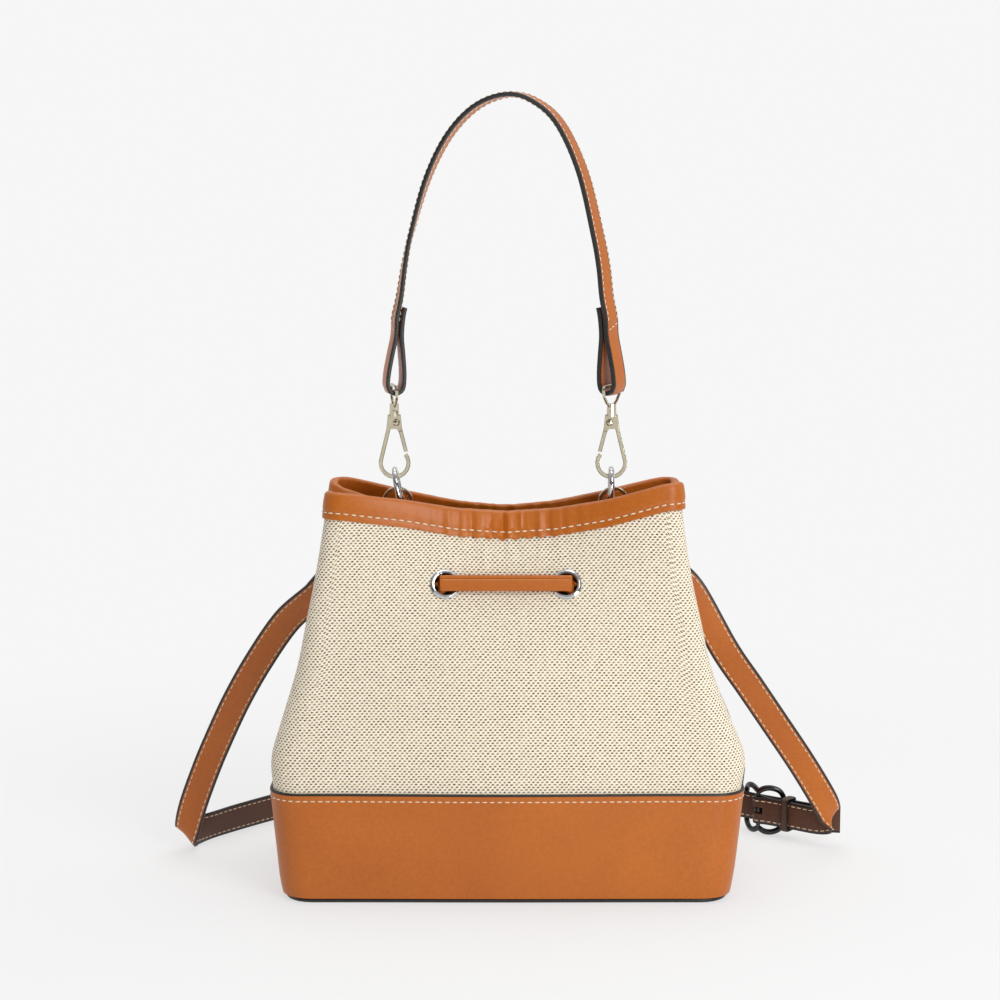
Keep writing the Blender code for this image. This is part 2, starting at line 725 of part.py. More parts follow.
def hook_parts(side):
    """Body, gate, rivet and swivel eye of a hook whose gate is on its `side` (+1 or -1 along X)."""
    rivet_x = 1.2 * MM
    middle = (0, HOOK_RADIUS)
    inner, outer = HOOK_RADIUS - HOOK_BAR / 2, HOOK_RADIUS + HOOK_BAR / 2
    half = HOOK_DEPTH / 2
    outline = [
        (-3.9 * MM, HOOK_TOP),
        (3.9 * MM, HOOK_TOP),
        (4.8 * MM, PLATE_BOTTOM),
        (-2.3 * MM, PLATE_BOTTOM),
        *arc(middle, inner, 176, 398, 12),
        *arc(middle, outer, 398, 176, 13),
        (-4.8 * MM, PLATE_BOTTOM),
    ]
    body = plate([(x * side, z) for x, z in outline], -half, half, 0.35 * MM)
    boss = turned([(0, 37 * MM), (3 * MM, 37 * MM), (3 * MM, 40.4 * MM), (0, 40.4 * MM)], 16)
    body = combine(body, boss, "UNION")
    spread = sorted((-2.2 * MM * side, 7 * MM * side))
    recess = box((spread[0], 0.05 * MM, 28.8 * MM), (spread[1], 4 * MM, 36.4 * MM))
    body = combine(body, recess, "DIFFERENCE")
    socket = turned([(0, 38.1 * MM), (1.5 * MM, 38.1 * MM), (1.5 * MM, 42 * MM), (0, 42 * MM)], 12)
    body = combine(body, socket, "DIFFERENCE")
    drill = turned([(0, -4 * MM), (0.9 * MM, -4 * MM), (0.9 * MM, 4 * MM), (0, 4 * MM)], 12)
    drill.transform(frame_matrix((rivet_x * side, 0, RIVET_Z), X_AXIS, Y_AXIS))
    body = combine(body, drill, "DIFFERENCE")

    bar = [(5.9, 15.2), (8.1, 15.7), (5.0, 28.2), (2.7, 27.7)]
    tongue = [(2.9, 26.6), (5.2, 27.0), (4.6, 30.5)]
    tongue = [(x * MM, z * MM) for x, z in tongue]
    tongue += arc((rivet_x, RIVET_Z), 2.3 * MM, -10, 200, 7)
    gate = plate([(x * MM * side, z * MM) for x, z in bar], -1.3 * MM, 1.5 * MM, 0.3 * MM)
    leaf = plate([(x * side, z) for x, z in tongue], 0.45 * MM, 1.35 * MM)
    gate = combine(combine(gate, leaf, "UNION"), drill, "DIFFERENCE")

    rivet_profile = ((0, -3), (1.5, -2.7), (2.2, -2), (2.2, -1.9), (0.8, -1.9), (0.8, 1.9), (1.6, 1.9), (1.6, 2.4))
    rivet = turned([(r * MM, z * MM) for r, z in rivet_profile] + [(0, 2.4 * MM)], 10)
    rivet.transform(frame_matrix((rivet_x * side, 0, RIVET_Z), X_AXIS, Y_AXIS))
    return {"body": body, "gate": gate, "rivet": rivet, "pivot": (rivet_x * side, 0, RIVET_Z)}


def swivel_eye():
    """The wire stirrup that the strap goes through, its bar along X, on a barrel that turns in the hook."""
    barrel = turned(
        [
            (0, 38.4 * MM),
            (1.3 * MM, 38.4 * MM),
            (1.3 * MM, 40.7 * MM),
            (2.9 * MM, 40.7 * MM),
            (2.9 * MM, 44.6 * MM),
            (0, 44.6 * MM),
        ],
        14,
    )
    reach = 10.5 * MM
    corner = 2 * MM
    side = [(2.2 * MM, 43.2 * MM), (6.2 * MM, 45.6 * MM), (9.8 * MM, 49.6 * MM)]
    side += arc((reach - corner, EYE_BAR_Z - corner), corner, 0, 90, 3)
    path = side + [(-x, z) for x, z in reversed(side)]
    wire = sweep([np.array([x, 0, z]) for x, z in path], Y_AXIS, round_section(EYE_WIRE), True)
    return combine(barrel, wire, "UNION")


def make_hook(name, side, matrix, eye_matrix):
    parts = hook_parts(side)
    origin = matrix @ Vector((0, 0, HOOK_TOP))
    for part, kind in (("body", PALE_GOLD), ("rivet", PALE_GOLD)):
        parts[part].transform(matrix)
        place(f"{name}_hook_{part}", parts[part], kind, origin)
    parts["gate"].transform(matrix)
    place(f"{name}_hook_gate", parts["gate"], PALE_GOLD, matrix @ Vector(parts["pivot"]))
    eye = swivel_eye()
    eye.transform(eye_matrix)
    place(f"{name}_swivel_eye", eye, PALE_GOLD, origin)


# Top handle


HANDLE_YAW = {"left": math.radians(-12), "right": math.radians(30)}


def hook_x(side):
    return RING_X[side] + RING_HEIGHT * math.sin(RING_LEAN[side])


def handle_end(side):
    """The folded end round the swivel eye, from the sewn-down flap to the leg, as (x, y, z, yaw)."""
    yaw = HANDLE_YAW[side]
    away = 1 if side == "right" else -1
    profile = (
        (-2.75, 103),
        (-1.9, 97),
        (-1.75, 86),
        (-3.3, 75),
        (-4.7, 64),
        (-4.85, 56),
        (-3.43, 52.6),
        (0, 51.2),
        (3.43, 52.6),
        (4.85, 56),
        (4.7, 64),
        (3.3, 75),
        (1.75, 86),
        (1.75, 97),
    )
    points = []
    for out, height in profile:
        across = (out - 0.07 * (height - 56)) * MM * away
        x = hook_x(side) + across * math.cos(yaw)
        points.append([x, -across * math.sin(yaw), HANDLE_PIVOT_Z + height * MM, yaw])
    return points


def make_handle():
    arch = (
        (-64.0, 356, -10),
        (-61.2, 374, -6),
        (-57.2, 393, 0),
        (-46.9, 427, 8),
        (-33.5, 453, 12),
        (-16.5, 470, 15),
        (2.8, 476.4, 17),
        (19, 471.5, 19),
        (33, 458, 21),
        (45.9, 430, 24),
        (55, 393, 27),
        (58.6, 374, 29),
        (60.6, 356, 30),
    )
    middle = [[x * MM, 0, z * MM, math.radians(turn)] for x, z, turn in arch]
    path = smooth_path([*handle_end("left"), *middle, *reversed(handle_end("right"))], 9 * MM)
    across = np.column_stack([np.sin(path[:, 3]), np.cos(path[:, 3]), np.zeros(len(path))])
    strap = sweep(path[:, :3], across, soft_section(HANDLE_WIDTH, HANDLE_THICKNESS))
    place("handle_strap", strap, LEATHER, (0, 0, HANDLE_PIVOT_Z))
    for side, gate_side in (("left", 1), ("right", -1)):
        spot = (hook_x(side), 0, HANDLE_PIVOT_Z)
        yaw = HANDLE_YAW[side]
        bar = (math.sin(yaw), math.cos(yaw), 0)
        make_hook("handle_" + side, gate_side, frame_matrix(spot, X_AXIS, Z_AXIS), frame_matrix(spot, bar, Z_AXIS))


# Long strap


def strap_hook_frame(side):
    """Origin, downward direction and across direction of the long strap's hook on this side."""
    sign = -1 if side == "left" else 1
    down = np.array([sign * math.sin(STRAP_ANGLE), 0, -math.cos(STRAP_ANGLE)])
    across = np.array([-sign * math.cos(STRAP_ANGLE), 0, -math.sin(STRAP_ANGLE)])
    bar = np.array([RING_X[side], STRAP_HOOK_Y, RING_BAR_Z])
    return bar - down * STRAP_HOOK_BACK, down, across


def strap_start(side):
    origin, down, across = strap_hook_frame(side)
    profile = (
        (1.15, 84),
        (1.15, 68),
        (2.3, 60),
        (2.6, 55.6),
        (1.84, 53.76),
        (0, 53),
        (-1.84, 53.76),
        (-2.6, 55.6),
        (-2.3, 60),
        (-1.15, 68),
        (-1.15, 84),
    )
    return [[*(origin + down * t * MM + Y_AXIS * n * MM), *across] for n, t in profile]


def at_buckle(along, toward, height=0.0):
    spot = BUCKLE_CENTRE + BUCKLE_ALONG * along * MM + BUCKLE_TOWARD * toward * MM
    return spot + Z_AXIS * height * MM


def strap_mesh(stations, spacing):
    path = smooth_path(stations, spacing)
    return sweep(path[:, :3], path[:, 3:], flat_section(STRAP_WIDTH, STRAP_THICKNESS))


def make_long_strap():
    hanging = (0.9, 0, -0.44)
    turning = (0.72, -0.27, -0.62)
    on_edge = (0, 0, -1)
    left = [
        (-135.2, 12.5, 155.5, hanging),
        (-153.6, 19, 128.8, hanging),
        (-168.8, 24.5, 102, hanging),
        (-181.3, 28.5, 75.5, hanging),
        (-189.8, 30.5, 55.5, hanging),
        (-198.8, 34, 31, (0.95, -0.05, -0.3)),
        (-203.8, 40, 11, turning),
        (-200.5, 50, 10, (0.3, -0.2, -0.93)),
        (-192, 64, 9.6, on_edge),
        (-177, 84, 9.6, on_edge),
        (-153, 112, 9.6, on_edge),
        (-128, 136, 9.8, on_edge),
        (-90, 149.5, 10, on_edge),
        (-45, 154.5, 10.4, on_edge),
        (0, 154.5, 11, on_edge),
        (45, 151, 12.2, on_edge),
        (85, 139, 14, on_edge),
        (116, 120.5, 16, on_edge),
    ]
    right = [
        (135.6, 9, 137, (-0.9, 0, -0.44)),
        (152.0, 17, 112.5, (-0.88, 0, -0.47)),
        (168.6, 24, 87.5, (-0.86, 0, -0.51)),
        (186.4, 31.5, 60.5, (-0.86, 0, -0.51)),
        (200.2, 39, 37.5, (-0.88, -0.1, -0.46)),
        (206.4, 43.8, 25.4, (-0.72, -0.3, -0.6)),
        (207.6, 47.6, 18.8, (-0.25, -0.2, -0.93)),
    ]

    def stations(rows):
        return [[x * MM, y * MM, z * MM, *side] for x, y, z, side in rows]

    flat = ((-22, -5), (0, -5), (30, -5), (42, -5.05), (49, -7.4), (55, -10.6))
    straight = [[*at_buckle(s, n), *on_edge] for s, n in flat]
    long_part = strap_mesh([*strap_start("left"), *stations(left), *straight], 11 * MM)
    slot = box((2.0 * MM, -12 * MM, -1.8 * MM), (9.2 * MM, -2.6 * MM, 1.8 * MM))
    buckle_turn = frame_matrix(BUCKLE_CENTRE, BUCKLE_ALONG, Z_AXIS)
    slot.transform(buckle_turn @ Matrix.Scale(-1, 4, Vector((0, 1, 0))))
    slot.flip_normals()
    long_part = combine(long_part, slot, "DIFFERENCE")
    for along in (-24, 23, 46):
        hole = turned([(0, -4 * MM), (1.3 * MM, -4 * MM), (1.3 * MM, 4 * MM), (0, 4 * MM)], 10)
        hole.transform(frame_matrix(at_buckle(along, -5.0), Z_AXIS, BUCKLE_TOWARD))
        long_part = combine(long_part, hole, "DIFFERENCE")
    place("strap_long_part", long_part, LEATHER)

    wrap = (
        (44, 1.15),
        (25, 1.15),
        (8, 1.15),
        (3.2, 2.2),
        (0, 2.75),
        (-1.95, 1.95),
        (-2.75, 0),
        (-1.95, -1.95),
        (0, -2.75),
        (3.2, -2.2),
        (8, -1.15),
        (25, -1.15),
    )
    folded = [[*at_buckle(s, n), *on_edge] for s, n in wrap]
    short_part = strap_mesh([*strap_start("right"), *stations(right), *folded], 11 * MM)
    slit = box((-6 * MM, -6 * MM, -2.2 * MM), (4.6 * MM, 6 * MM, 2.2 * MM))
    slit.transform(buckle_turn)
    short_part = combine(short_part, slit, "DIFFERENCE")
    place("strap_buckle_part", short_part, LEATHER)

    for side, gate_side in (("left", 1), ("right", -1)):
        origin, down, across = strap_hook_frame(side)
        facing = across if side == "left" else -across
        matrix = frame_matrix(origin, facing, down)
        make_hook("strap_" + side, gate_side, matrix, matrix)


def make_buckle():
    quarter = ((0, 12.2), (3.5, 14.3), (8, 14.8), (12.4, 12.4), (14.3, 6.5))
    around = [*quarter, (14.6, 0), *[(s, -z) for s, z in reversed(quarter)]]
    around += [(-s, z) for s, z in reversed(around[1:-1])]
    rail = [(a * 1.5 * MM, b * 1.9 * MM) for a, b in round_section(1)]
    path = [at_buckle(s, -8.9 * (abs(s) / 14.6) ** 1.6, z) for s, z in around]
    frame = sweep(path, BUCKLE_TOWARD, rail, True)
    ends = [at_buckle(0, 0, -12.2), at_buckle(0, 0, 12.2)]
    bar = sweep(ends, BUCKLE_ALONG, round_section(1.4 * MM, 10))
    place("buckle_frame", combine(frame, bar, "UNION"), GUNMETAL)

    collar = turned([(1.65 * MM, -1.3 * MM), (2.75 * MM, -1.3 * MM), (2.75 * MM, 1.3 * MM), (1.65 * MM, 1.3 * MM)], 14)
    collar.transform(frame_matrix(BUCKLE_CENTRE, BUCKLE_ALONG, Z_AXIS))
    pin = [at_buckle(s, n) for s, n in ((1.85, -1.85), (4.3, -4.1), (7.6, -7.6), (11.2, -10.7), (16.4, -11.7))]
    prong = combine(collar, sweep(pin, Z_AXIS, round_section(0.9 * MM)), "UNION")
    place("buckle_prong", prong, GUNMETAL, BUCKLE_CENTRE)

    loop = loop_path(10.4 * MM, 5.3 * MM, 1.6 * MM)
    centre = at_buckle(21.5, -1.9)
    path = [centre + Z_AXIS * a + BUCKLE_TOWARD * b for a, b in loop]
    place("strap_keeper", sweep(path, BUCKLE_ALONG, flat_section(5 * MM, 1.3 * MM), True), LEATHER, centre)


def main():
    clear_scene()
    cutters = eyelet_cutters()
    make_bottom()
    make_base_band()
    make_canvas(cutters)
    make_lining(cutters)
    make_rim_binding()
    make_side_seams()
    make_eyelets()
    make_drawstring()
    for side in ("left", "right"):
        make_ring(side)
    make_handle()
    make_long_strap()
    make_buckle()


main()
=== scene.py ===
"""Looks of the bucket bag: camera, soft light, cloth, leather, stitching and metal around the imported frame.

Metres, in the frame of the CAD: origin at the centre of the underside, +X right, +Y back, +Z up.
"""

import json
import math

import bmesh
import bpy
import numpy as np
from mathutils import Matrix, Vector, noise


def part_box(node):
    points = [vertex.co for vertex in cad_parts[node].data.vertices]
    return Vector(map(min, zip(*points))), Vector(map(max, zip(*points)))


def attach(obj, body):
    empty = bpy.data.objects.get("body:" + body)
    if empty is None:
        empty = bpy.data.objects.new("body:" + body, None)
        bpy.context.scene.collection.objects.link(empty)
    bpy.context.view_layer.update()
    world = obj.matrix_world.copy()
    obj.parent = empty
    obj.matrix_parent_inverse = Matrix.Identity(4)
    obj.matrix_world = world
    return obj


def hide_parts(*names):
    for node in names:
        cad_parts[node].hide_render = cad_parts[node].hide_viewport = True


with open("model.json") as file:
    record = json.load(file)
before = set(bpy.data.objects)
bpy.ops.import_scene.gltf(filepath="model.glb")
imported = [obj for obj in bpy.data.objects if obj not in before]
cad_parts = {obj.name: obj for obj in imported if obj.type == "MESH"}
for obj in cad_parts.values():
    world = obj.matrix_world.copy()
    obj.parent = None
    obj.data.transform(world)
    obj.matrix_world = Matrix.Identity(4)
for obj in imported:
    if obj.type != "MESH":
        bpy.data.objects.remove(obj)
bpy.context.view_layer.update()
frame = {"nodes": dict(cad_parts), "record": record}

MM = 0.001
X_AXIS = np.array([1.0, 0.0, 0.0])
Y_AXIS = np.array([0.0, 1.0, 0.0])
Z_AXIS = np.array([0.0, 0.0, 1.0])

# All lengths are in millimetres, as in the CAD.
# Body: height, left and right half-width, corner depth, centre depth, how far the groove's floor lies from the
# middle, depth of the ear's inner side, half-width of the groove's floor, corner radius
SECTIONS = np.array(
    [
        (0, 131, 131.5, 68.5, 69, 141, 36, 12.3, 28),
        (4, 132.5, 133, 69.3, 70, 141, 36, 12.3, 29),
        (12, 134, 134.5, 69.8, 71, 141, 36, 12.3, 31),
        (25, 135.3, 136.3, 70, 71.5, 141, 36, 12.3, 31),
        (66, 139.1, 140.5, 70, 72, 140.5, 36, 12.3, 31),
        (85, 139.8, 142.6, 68, 70, 134, 35, 12.3, 30),
        (104, 134.8, 135.3, 64, 66.5, 123.5, 32, 12.3, 26),
        (137, 125.1, 122.8, 55, 57, 103.5, 26, 12.3, 18),
        (164, 119.6, 116.8, 48, 47, 86, 21, 12.3, 13),
        (190, 114.5, 111.5, 41, 33, 70, 16, 12.3, 11),
        (221, 109.2, 107, 33.5, 17, 55.5, 11.5, 12.3, 9.5),
        (246, 106.5, 105, 28.5, 7, 54.5, 8, 12.3, 8.5),
    ]
)
BODY_TOP = 246
EAR_RADIUS = 7.5
GROOVE_RADIUS = 5.0
SHORTEST_CUT = 2.0
ARC_STEPS = 6
FRONT_STEPS = 64
# Height of the canvas's edge at the middle, at two places between, and at the ear
FRONT_RIM = {"right": (226.0, 228.3, 234.5, 245), "left": (226.0, 228.3, 234.5, 239.5)}
BACK_RIM = (226.0, 228.3, 233.5, 241.5)
GROOVE_RIM = 223.5
BASE_SEAM = 66.0
BASE_INSIDE = 0.3
BASE_OUTSIDE = 1.9
CANVAS_THICKNESS = 1.2
BINDING_DROP = 14.5
BINDING_INSIDE = -3.8
BINDING_OUTSIDE = 1.6
# The binding's overlapping end makes it this much thicker, from this x on
RIM_LAP = 0.45
RIM_LAP_X = 97.5

EYELET_X = 36.2
EYELET_Z = 186.5
EYELET_BARREL = 7.0
EYELET_LEAN = math.radians(27)

RING_X = {"left": -64.5, "right": 64.0}
RING_LEAN = {"left": math.radians(-10), "right": 0.0}
RING_BAR_Z = 232.5
RING_HEIGHT = 18.8
RING_HALF_WIDTH = 8.8
RING_CORNER = 3.0
RING_WIRE = 1.7
TAB_WIDTH = 8.0
TAB_THICKNESS = 1.4

HANDLE_PIVOT_Z = 246.6
HANDLE_YAW = {"left": math.radians(-12), "right": math.radians(30)}
HANDLE_WIDTH = 15.0
HANDLE_THICKNESS = 3.0
HANDLE_SEAM = 89.0
HANDLE_STITCH_ROW = 5.6

STRING_WIDTH = 9.8
STRING_THICKNESS = 3.2
STRING_OUT = 3.5
SLEEVE_LENGTH = 24.0
SLEEVE_WALL = 1.0
SLEEVE_GAP = 0.3
SIDE_SEAM_STAND = {"left": 5.2, "right": 7.2}
SIDE_SEAM_WIDTH = 2.2
METAL_EDGE = 0.22

STRAP_WIDTH = 18.0
STRAP_THICKNESS = 2.0
STRAP_ANGLE = math.radians(41)
STRAP_STITCH_ROW = STRAP_WIDTH / 2 - 2.5
STRAP_HOLES = (-24, 23, 46)
STRAP_HOLE_RADIUS = 1.3
FLAT_STRAP = -5.0
BUCKLE_CENTRE = np.array([165, 80, 16.3])
BUCKLE_ALONG = np.array([0.8, -0.6, 0.0])
BUCKLE_TOWARD = np.array([-0.6, -0.8, 0.0])
BUCKLE_REACH = 14.6
BUCKLE_BOW = 8.9
BUCKLE_BAR = 12.2
KEEPER_PLACE = (21.5, -1.9)
KEEPER_WIDTH = 5.0
KEEPER_THICKNESS = 1.3

SHARP_ANGLE = math.radians(50)


# Mesh helpers. Points are given in millimetres.


def unit(vector):
    return vector / np.linalg.norm(vector)


def smooth_path(points, spacing):
    """A Catmull-Rom curve through the points, sampled about every `spacing`."""
    points = np.asarray(points, float)
    padded = np.vstack([2 * points[0] - points[1], points, 2 * points[-1] - points[-2]])
    out = []
    for i in range(1, len(padded) - 2):
        p0, p1, p2, p3 = padded[i - 1 : i + 3]
        steps = max(1, round(np.linalg.norm((p2 - p1)[:3]) / spacing))
        for t in np.arange(steps) / steps:
            curve = 2 * p1 + (p2 - p0) * t + (2 * p0 - 5 * p1 + 4 * p2 - p3) * t**2
            out.append(0.5 * (curve + (3 * p1 - p0 - 3 * p2 + p3) * t**3))
    out.append(points[-1])
    return np.array(out)


def run_lengths(line):
    """How far along a line each of its points is."""
    steps = np.linalg.norm(np.diff(line[:, :3], axis=0), axis=1)
    return np.concatenate([[0], np.cumsum(steps)])


def at_lengths(line, places):
    """Points of a line, and any values beside them, at the given lengths along it."""
    lengths = run_lengths(line)
    return np.column_stack([np.interp(places, lengths, line[:, i]) for i in range(line.shape[1])])


def tube_faces(count, size, closed):
    """Faces between `count` rings of `size` points each, with the end caps of a tube that isn't closed."""
    faces = []
    for i in range(count if closed else count - 1):
        ii = (i + 1) % count
        for j in range(size):
            k = (j + 1) % size
            faces.append((i * size + j, i * size + k, ii * size + k, ii * size + j))
    if not closed:
        faces.append(tuple(range(size)))
        faces.append(tuple((count - 1) * size + j for j in range(size)))
    return faces


def make_mesh(name, points, faces, kinds=None, uvs=None):
    """A smooth-shaded mesh with its normals outward. uvs has one pair for each point."""
    mesh = bpy.data.meshes.new(name)
    mesh.from_pydata([tuple(float(c) * MM for c in p) for p in points], [], faces)
    if kinds is not None:
        mesh.polygons.foreach_set("material_index", kinds)
    if uvs is not None:
        layer = mesh.uv_layers.new(name="surface")
        for loop in mesh.loops:
            layer.data[loop.index].uv = uvs[loop.vertex_index]
    work = bmesh.new()
    work.from_mesh(mesh)
    bmesh.ops.recalc_face_normals(work, faces=work.faces)
    work.to_mesh(mesh)
    work.free()
    mesh.shade_smooth()
    mesh.set_sharp_from_angle(angle=SHARP_ANGLE)
    return mesh


def add_piece(mesh, materials, replaced=(), body="bag"):
    item = bpy.data.objects.new(mesh.name, mesh)
    bpy.context.scene.collection.objects.link(item)
    for look in materials:
        mesh.materials.append(look)
    if replaced:
        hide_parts(*replaced)
    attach(item, body)
    return item


def cut(item, tools):
    """Cuts tool meshes out of a piece and applies the cut."""
    graph = bpy.context.evaluated_depsgraph_get()
    for tool in tools:
        other = bpy.data.objects.new("cutter", tool)
        bpy.context.scene.collection.objects.link(other)
        change = item.modifiers.new("cut", "BOOLEAN")
        change.solver = "EXACT"
        change.object = other
        graph.update()
        result = bpy.data.meshes.new_from_object(item.evaluated_get(graph))
        item.modifiers.remove(change)
        item.data = result
        bpy.data.objects.remove(other, do_unlink=True)
    item.data.set_sharp_from_angle(angle=SHARP_ANGLE)


def frames_along(path, across, closed=False):
    """Side and normal directions for each point of a path."""
    path = np.asarray(path, float)
    across = np.broadcast_to(np.asarray(across, float), path.shape)
    if closed:
        tangents = np.roll(path, -1, 0) - np.roll(path, 1, 0)
    else:
        tangents = np.gradient(path, axis=0)
    sides = []
    normals = []
    for tangent, side in zip(tangents, across):
        tangent = unit(tangent)
        side = unit(side - tangent * np.dot(side, tangent))
        sides.append(side)
        normals.append(np.cross(tangent, side))
    return np.array(sides), np.array(normals)


def sweep(name, path, across, section, edge_kind=None, closed=False):
    """Moves a section along a path. edge_kind(j) is the material index of the faces at section edge j."""
    path = np.asarray(path, float)
    sides, normals = frames_along(path, across, closed)
    lengths = run_lengths(path)
    count, size = len(path), len(section)
    points = [path[i] + sides[i] * a + normals[i] * b for i in range(count) for a, b in section]
    uvs = [(a, length) for length in lengths for a, _ in section]
    kinds = [edge_kind(j) if edge_kind else 0 for j in range(size)] * (count if closed else count - 1)
    if not closed:
        kinds += [1 if edge_kind else 0] * 2
    return make_mesh(name, points, tube_faces(count, size, closed), kinds, uvs)


def strap_section(width, thickness, crown=0.25):
    """A strap's section with crowned faces and rounded edges, and the kind of each side.

    Kind 0 is the face, 1 the painted edge and 2 the back.
    """
    w, t = width / 2, thickness / 2
    edge = min(0.45 * thickness, 0.9)
    paint = min(0.75 * thickness, 1.5)
    face = [(u * (w - paint), t + crown * (1 - u * u) - crown) for u in np.linspace(1, -1, 9)]
    turn = [(-w + edge * 0.3, t - crown * 0.2 - edge * 0.3), (-w, t - edge), (-w, -t + edge)]
    turn += [(-w + edge * 0.3, -t + crown * 0.2 + edge * 0.3)]
    lower = [(-a, -b) for a, b in face]
    other = [(-a, -b) for a, b in turn]
    section = [*face, *turn, *lower, *other]
    back = len(face) + len(turn)
    kinds = {j: 2 for j in range(back, back + len(lower) - 1)}
    for start in (len(face) - 1, back + len(lower) - 1):
        for i in range(len(turn) + 1):
            kinds[(start + i) % len(section)] = 1
    return section, lambda j: kinds.get(j, 0)


def round_section(radius, sides=16):
    turn = 2 * math.pi / sides
    return [(radius * math.cos(i * turn), radius * math.sin(i * turn)) for i in range(sides)]


def stitch_mesh(name, lines, pitch=4.4, length=3.0, width=0.75, lift=0.12):
    """Rows of thread. Each line is points with the surface normal beside them."""
    profile = ((0.0, 0.12), (0.1, 0.75), (0.3, 1.0), (0.7, 1.0), (0.9, 0.75), (1.0, 0.12))
    sides = 6
    tube = tube_faces(len(profile), sides, False)
    points = []
    faces = []
    for line in lines:
        line = np.asarray(line, float)
        total = run_lengths(line)[-1]
        count = max(1, int(total / pitch))
        step = total / count
        for n in range(count):
            start = (n + 0.5) * step - length / 2
            rows = at_lengths(line, [start + length * t for t, _ in profile])
            along = unit(rows[-1, :3] - rows[0, :3])
            normal = unit(rows[2, 3:6])
            side = unit(np.cross(along, normal))
            base = len(points)
            for (_, swell), row in zip(profile, rows):
                centre = row[:3] + normal * (lift - (1 - swell) * width * 0.45)
                reach = width / 2 * swell
                for a, b in round_section(reach, sides):
                    points.append(centre + side * a + normal * b * 0.8)
            faces += [tuple(base + corner for corner in face) for face in tube]
    return make_mesh(name, points, faces)


def frame_matrix(origin, x_dir, z_dir):
    z = Vector(z_dir).normalized()
    x = Vector(x_dir)
    x = (x - z * x.dot(z)).normalized()
    turn = Matrix((x, z.cross(x), z)).transposed().to_4x4()
    return Matrix.Translation(Vector(origin) * MM) @ turn


def cylinder(radius, low, high, sides, matrix):
    points = [(*spot, z) for z in (low, high) for spot in round_section(radius, sides)]
    faces = [tuple(range(sides)), tuple(range(sides, 2 * sides))]
    faces += [(i, (i + 1) % sides, sides + (i + 1) % sides, sides + i) for i in range(sides)]
    mesh = make_mesh("tool", points, faces)
    mesh.transform(matrix)
    return mesh


def box_tool(low, high, matrix):
    points = [(x, y, z) for x in (low[0], high[0]) for y in (low[1], high[1]) for z in (low[2], high[2])]
    faces = [(0, 1, 3, 2), (4, 6, 7, 5), (0, 4, 5, 1), (2, 3, 7, 6), (0, 2, 6, 4), (1, 5, 7, 3)]
    mesh = make_mesh("tool", points, faces)
    mesh.transform(matrix)
    return mesh


# Materials


class Nodes:
    """Short calls for building the node tree of a new material, or of the world it is given."""

    def __init__(self, name, world=None):
        self.look = world or bpy.data.materials.new(name)
        self.look.use_nodes = True
        self.tree = self.look.node_tree

    def feed(self, node, sockets):
        """Gives a node's sockets their numbers and colours, or links them."""
        for key, value in sockets.items():
            if isinstance(value, (int, float)):
                node.inputs[key].default_value = value
            elif isinstance(value, tuple):
                node.inputs[key].default_value = (*value, 1)
            elif value is not None:
                self.tree.links.new(value, node.inputs[key])

    def add(self, kind, sockets=None, **settings):
        node = self.tree.nodes.new(kind)
        for key, value in settings.items():
            setattr(node, key, value)
        self.feed(node, sockets or {})
        return node

    def place(self):
        return self.add("ShaderNodeTexCoord").outputs["Object"]

    def math(self, operation, a, b=None, clamp=False):
        return self.add("ShaderNodeMath", {0: a, 1: b}, operation=operation, use_clamp=clamp).outputs[0]

    def plus(self, a, b):
        return self.math("ADD", a, b)

    def times(self, a, b):
        return self.math("MULTIPLY", a, b)

    def noise(self, vector, scale, detail=2.0, roughness=0.5):
        sockets = {"Vector": vector, "Scale": scale, "Detail": detail, "Roughness": roughness}
        return self.add("ShaderNodeTexNoise", sockets).outputs["Fac"]

    def ramp(self, factor, stops):
        node = self.add("ShaderNodeValToRGB", {"Fac": factor})
        elements = node.color_ramp.elements
        while len(elements) < len(stops):
            elements.new(0.5)
        for element, (position, colour) in zip(elements, stops):
            element.position = position
            element.color = (*colour, 1)
        return node.outputs["Color"]

    def mix(self, factor, a, b, blend="MIX"):
        node = self.add("ShaderNodeMix", data_type="RGBA", blend_type=blend)
        given = {"Factor": factor, "A": a, "B": b}
        self.feed(node, {i: given[s.name] for i, s in enumerate(node.inputs) if s.enabled})
        return [s for s in node.outputs if s.enabled][0]

    def bump(self, height, strength, distance, normal=None):
        sockets = {"Height": height, "Strength": strength, "Distance": distance, "Normal": normal}
        return self.add("ShaderNodeBump", sockets).outputs["Normal"]

    def finish(self, factor, first, second, output):
        """Puts a mix of two shaders into the tree's output."""
        mix = self.add("ShaderNodeMixShader", {0: factor, 1: first.outputs[0], 2: second.outputs[0]})
        self.feed(self.tree.nodes[output], {"Surface": mix.outputs[0]})

    def set(self, **values):
        """Gives the material's shader its values."""
        self.feed(self.tree.nodes["Principled BSDF"], {key.replace("_", " "): values[key] for key in values})


def leather_look(name, tones, roughness):
    """Smooth leather with a fine grain. tones are its light, middle and dark colours."""
    light, middle, dark = tones
    n = Nodes(name)
    where = n.place()
    broad = n.noise(where, 16, 2)
    fine = n.noise(where, 520, 4, 0.6)
    tone = n.plus(n.times(broad, 0.5), n.times(fine, 0.5))
    colour = n.ramp(tone, ((0.25, dark), (0.5, middle), (0.75, light)))
    cells = n.add("ShaderNodeTexVoronoi", {"Vector": where, "Scale": 1500}, feature="DISTANCE_TO_EDGE")
    grain = n.math("MINIMUM", n.times(cells.outputs["Distance"], 3.0), 1.0)
    soft = n.bump(n.noise(where, 45, 2), 0.2, 0.0012)
    gloss = n.plus(n.times(fine, 0.16), roughness - 0.08)
    relief = n.bump(grain, 0.14, 0.0001, soft)
    n.set(Base_Color=colour, Roughness=gloss, Specular_IOR_Level=0.4, Normal=relief)
    return n.look


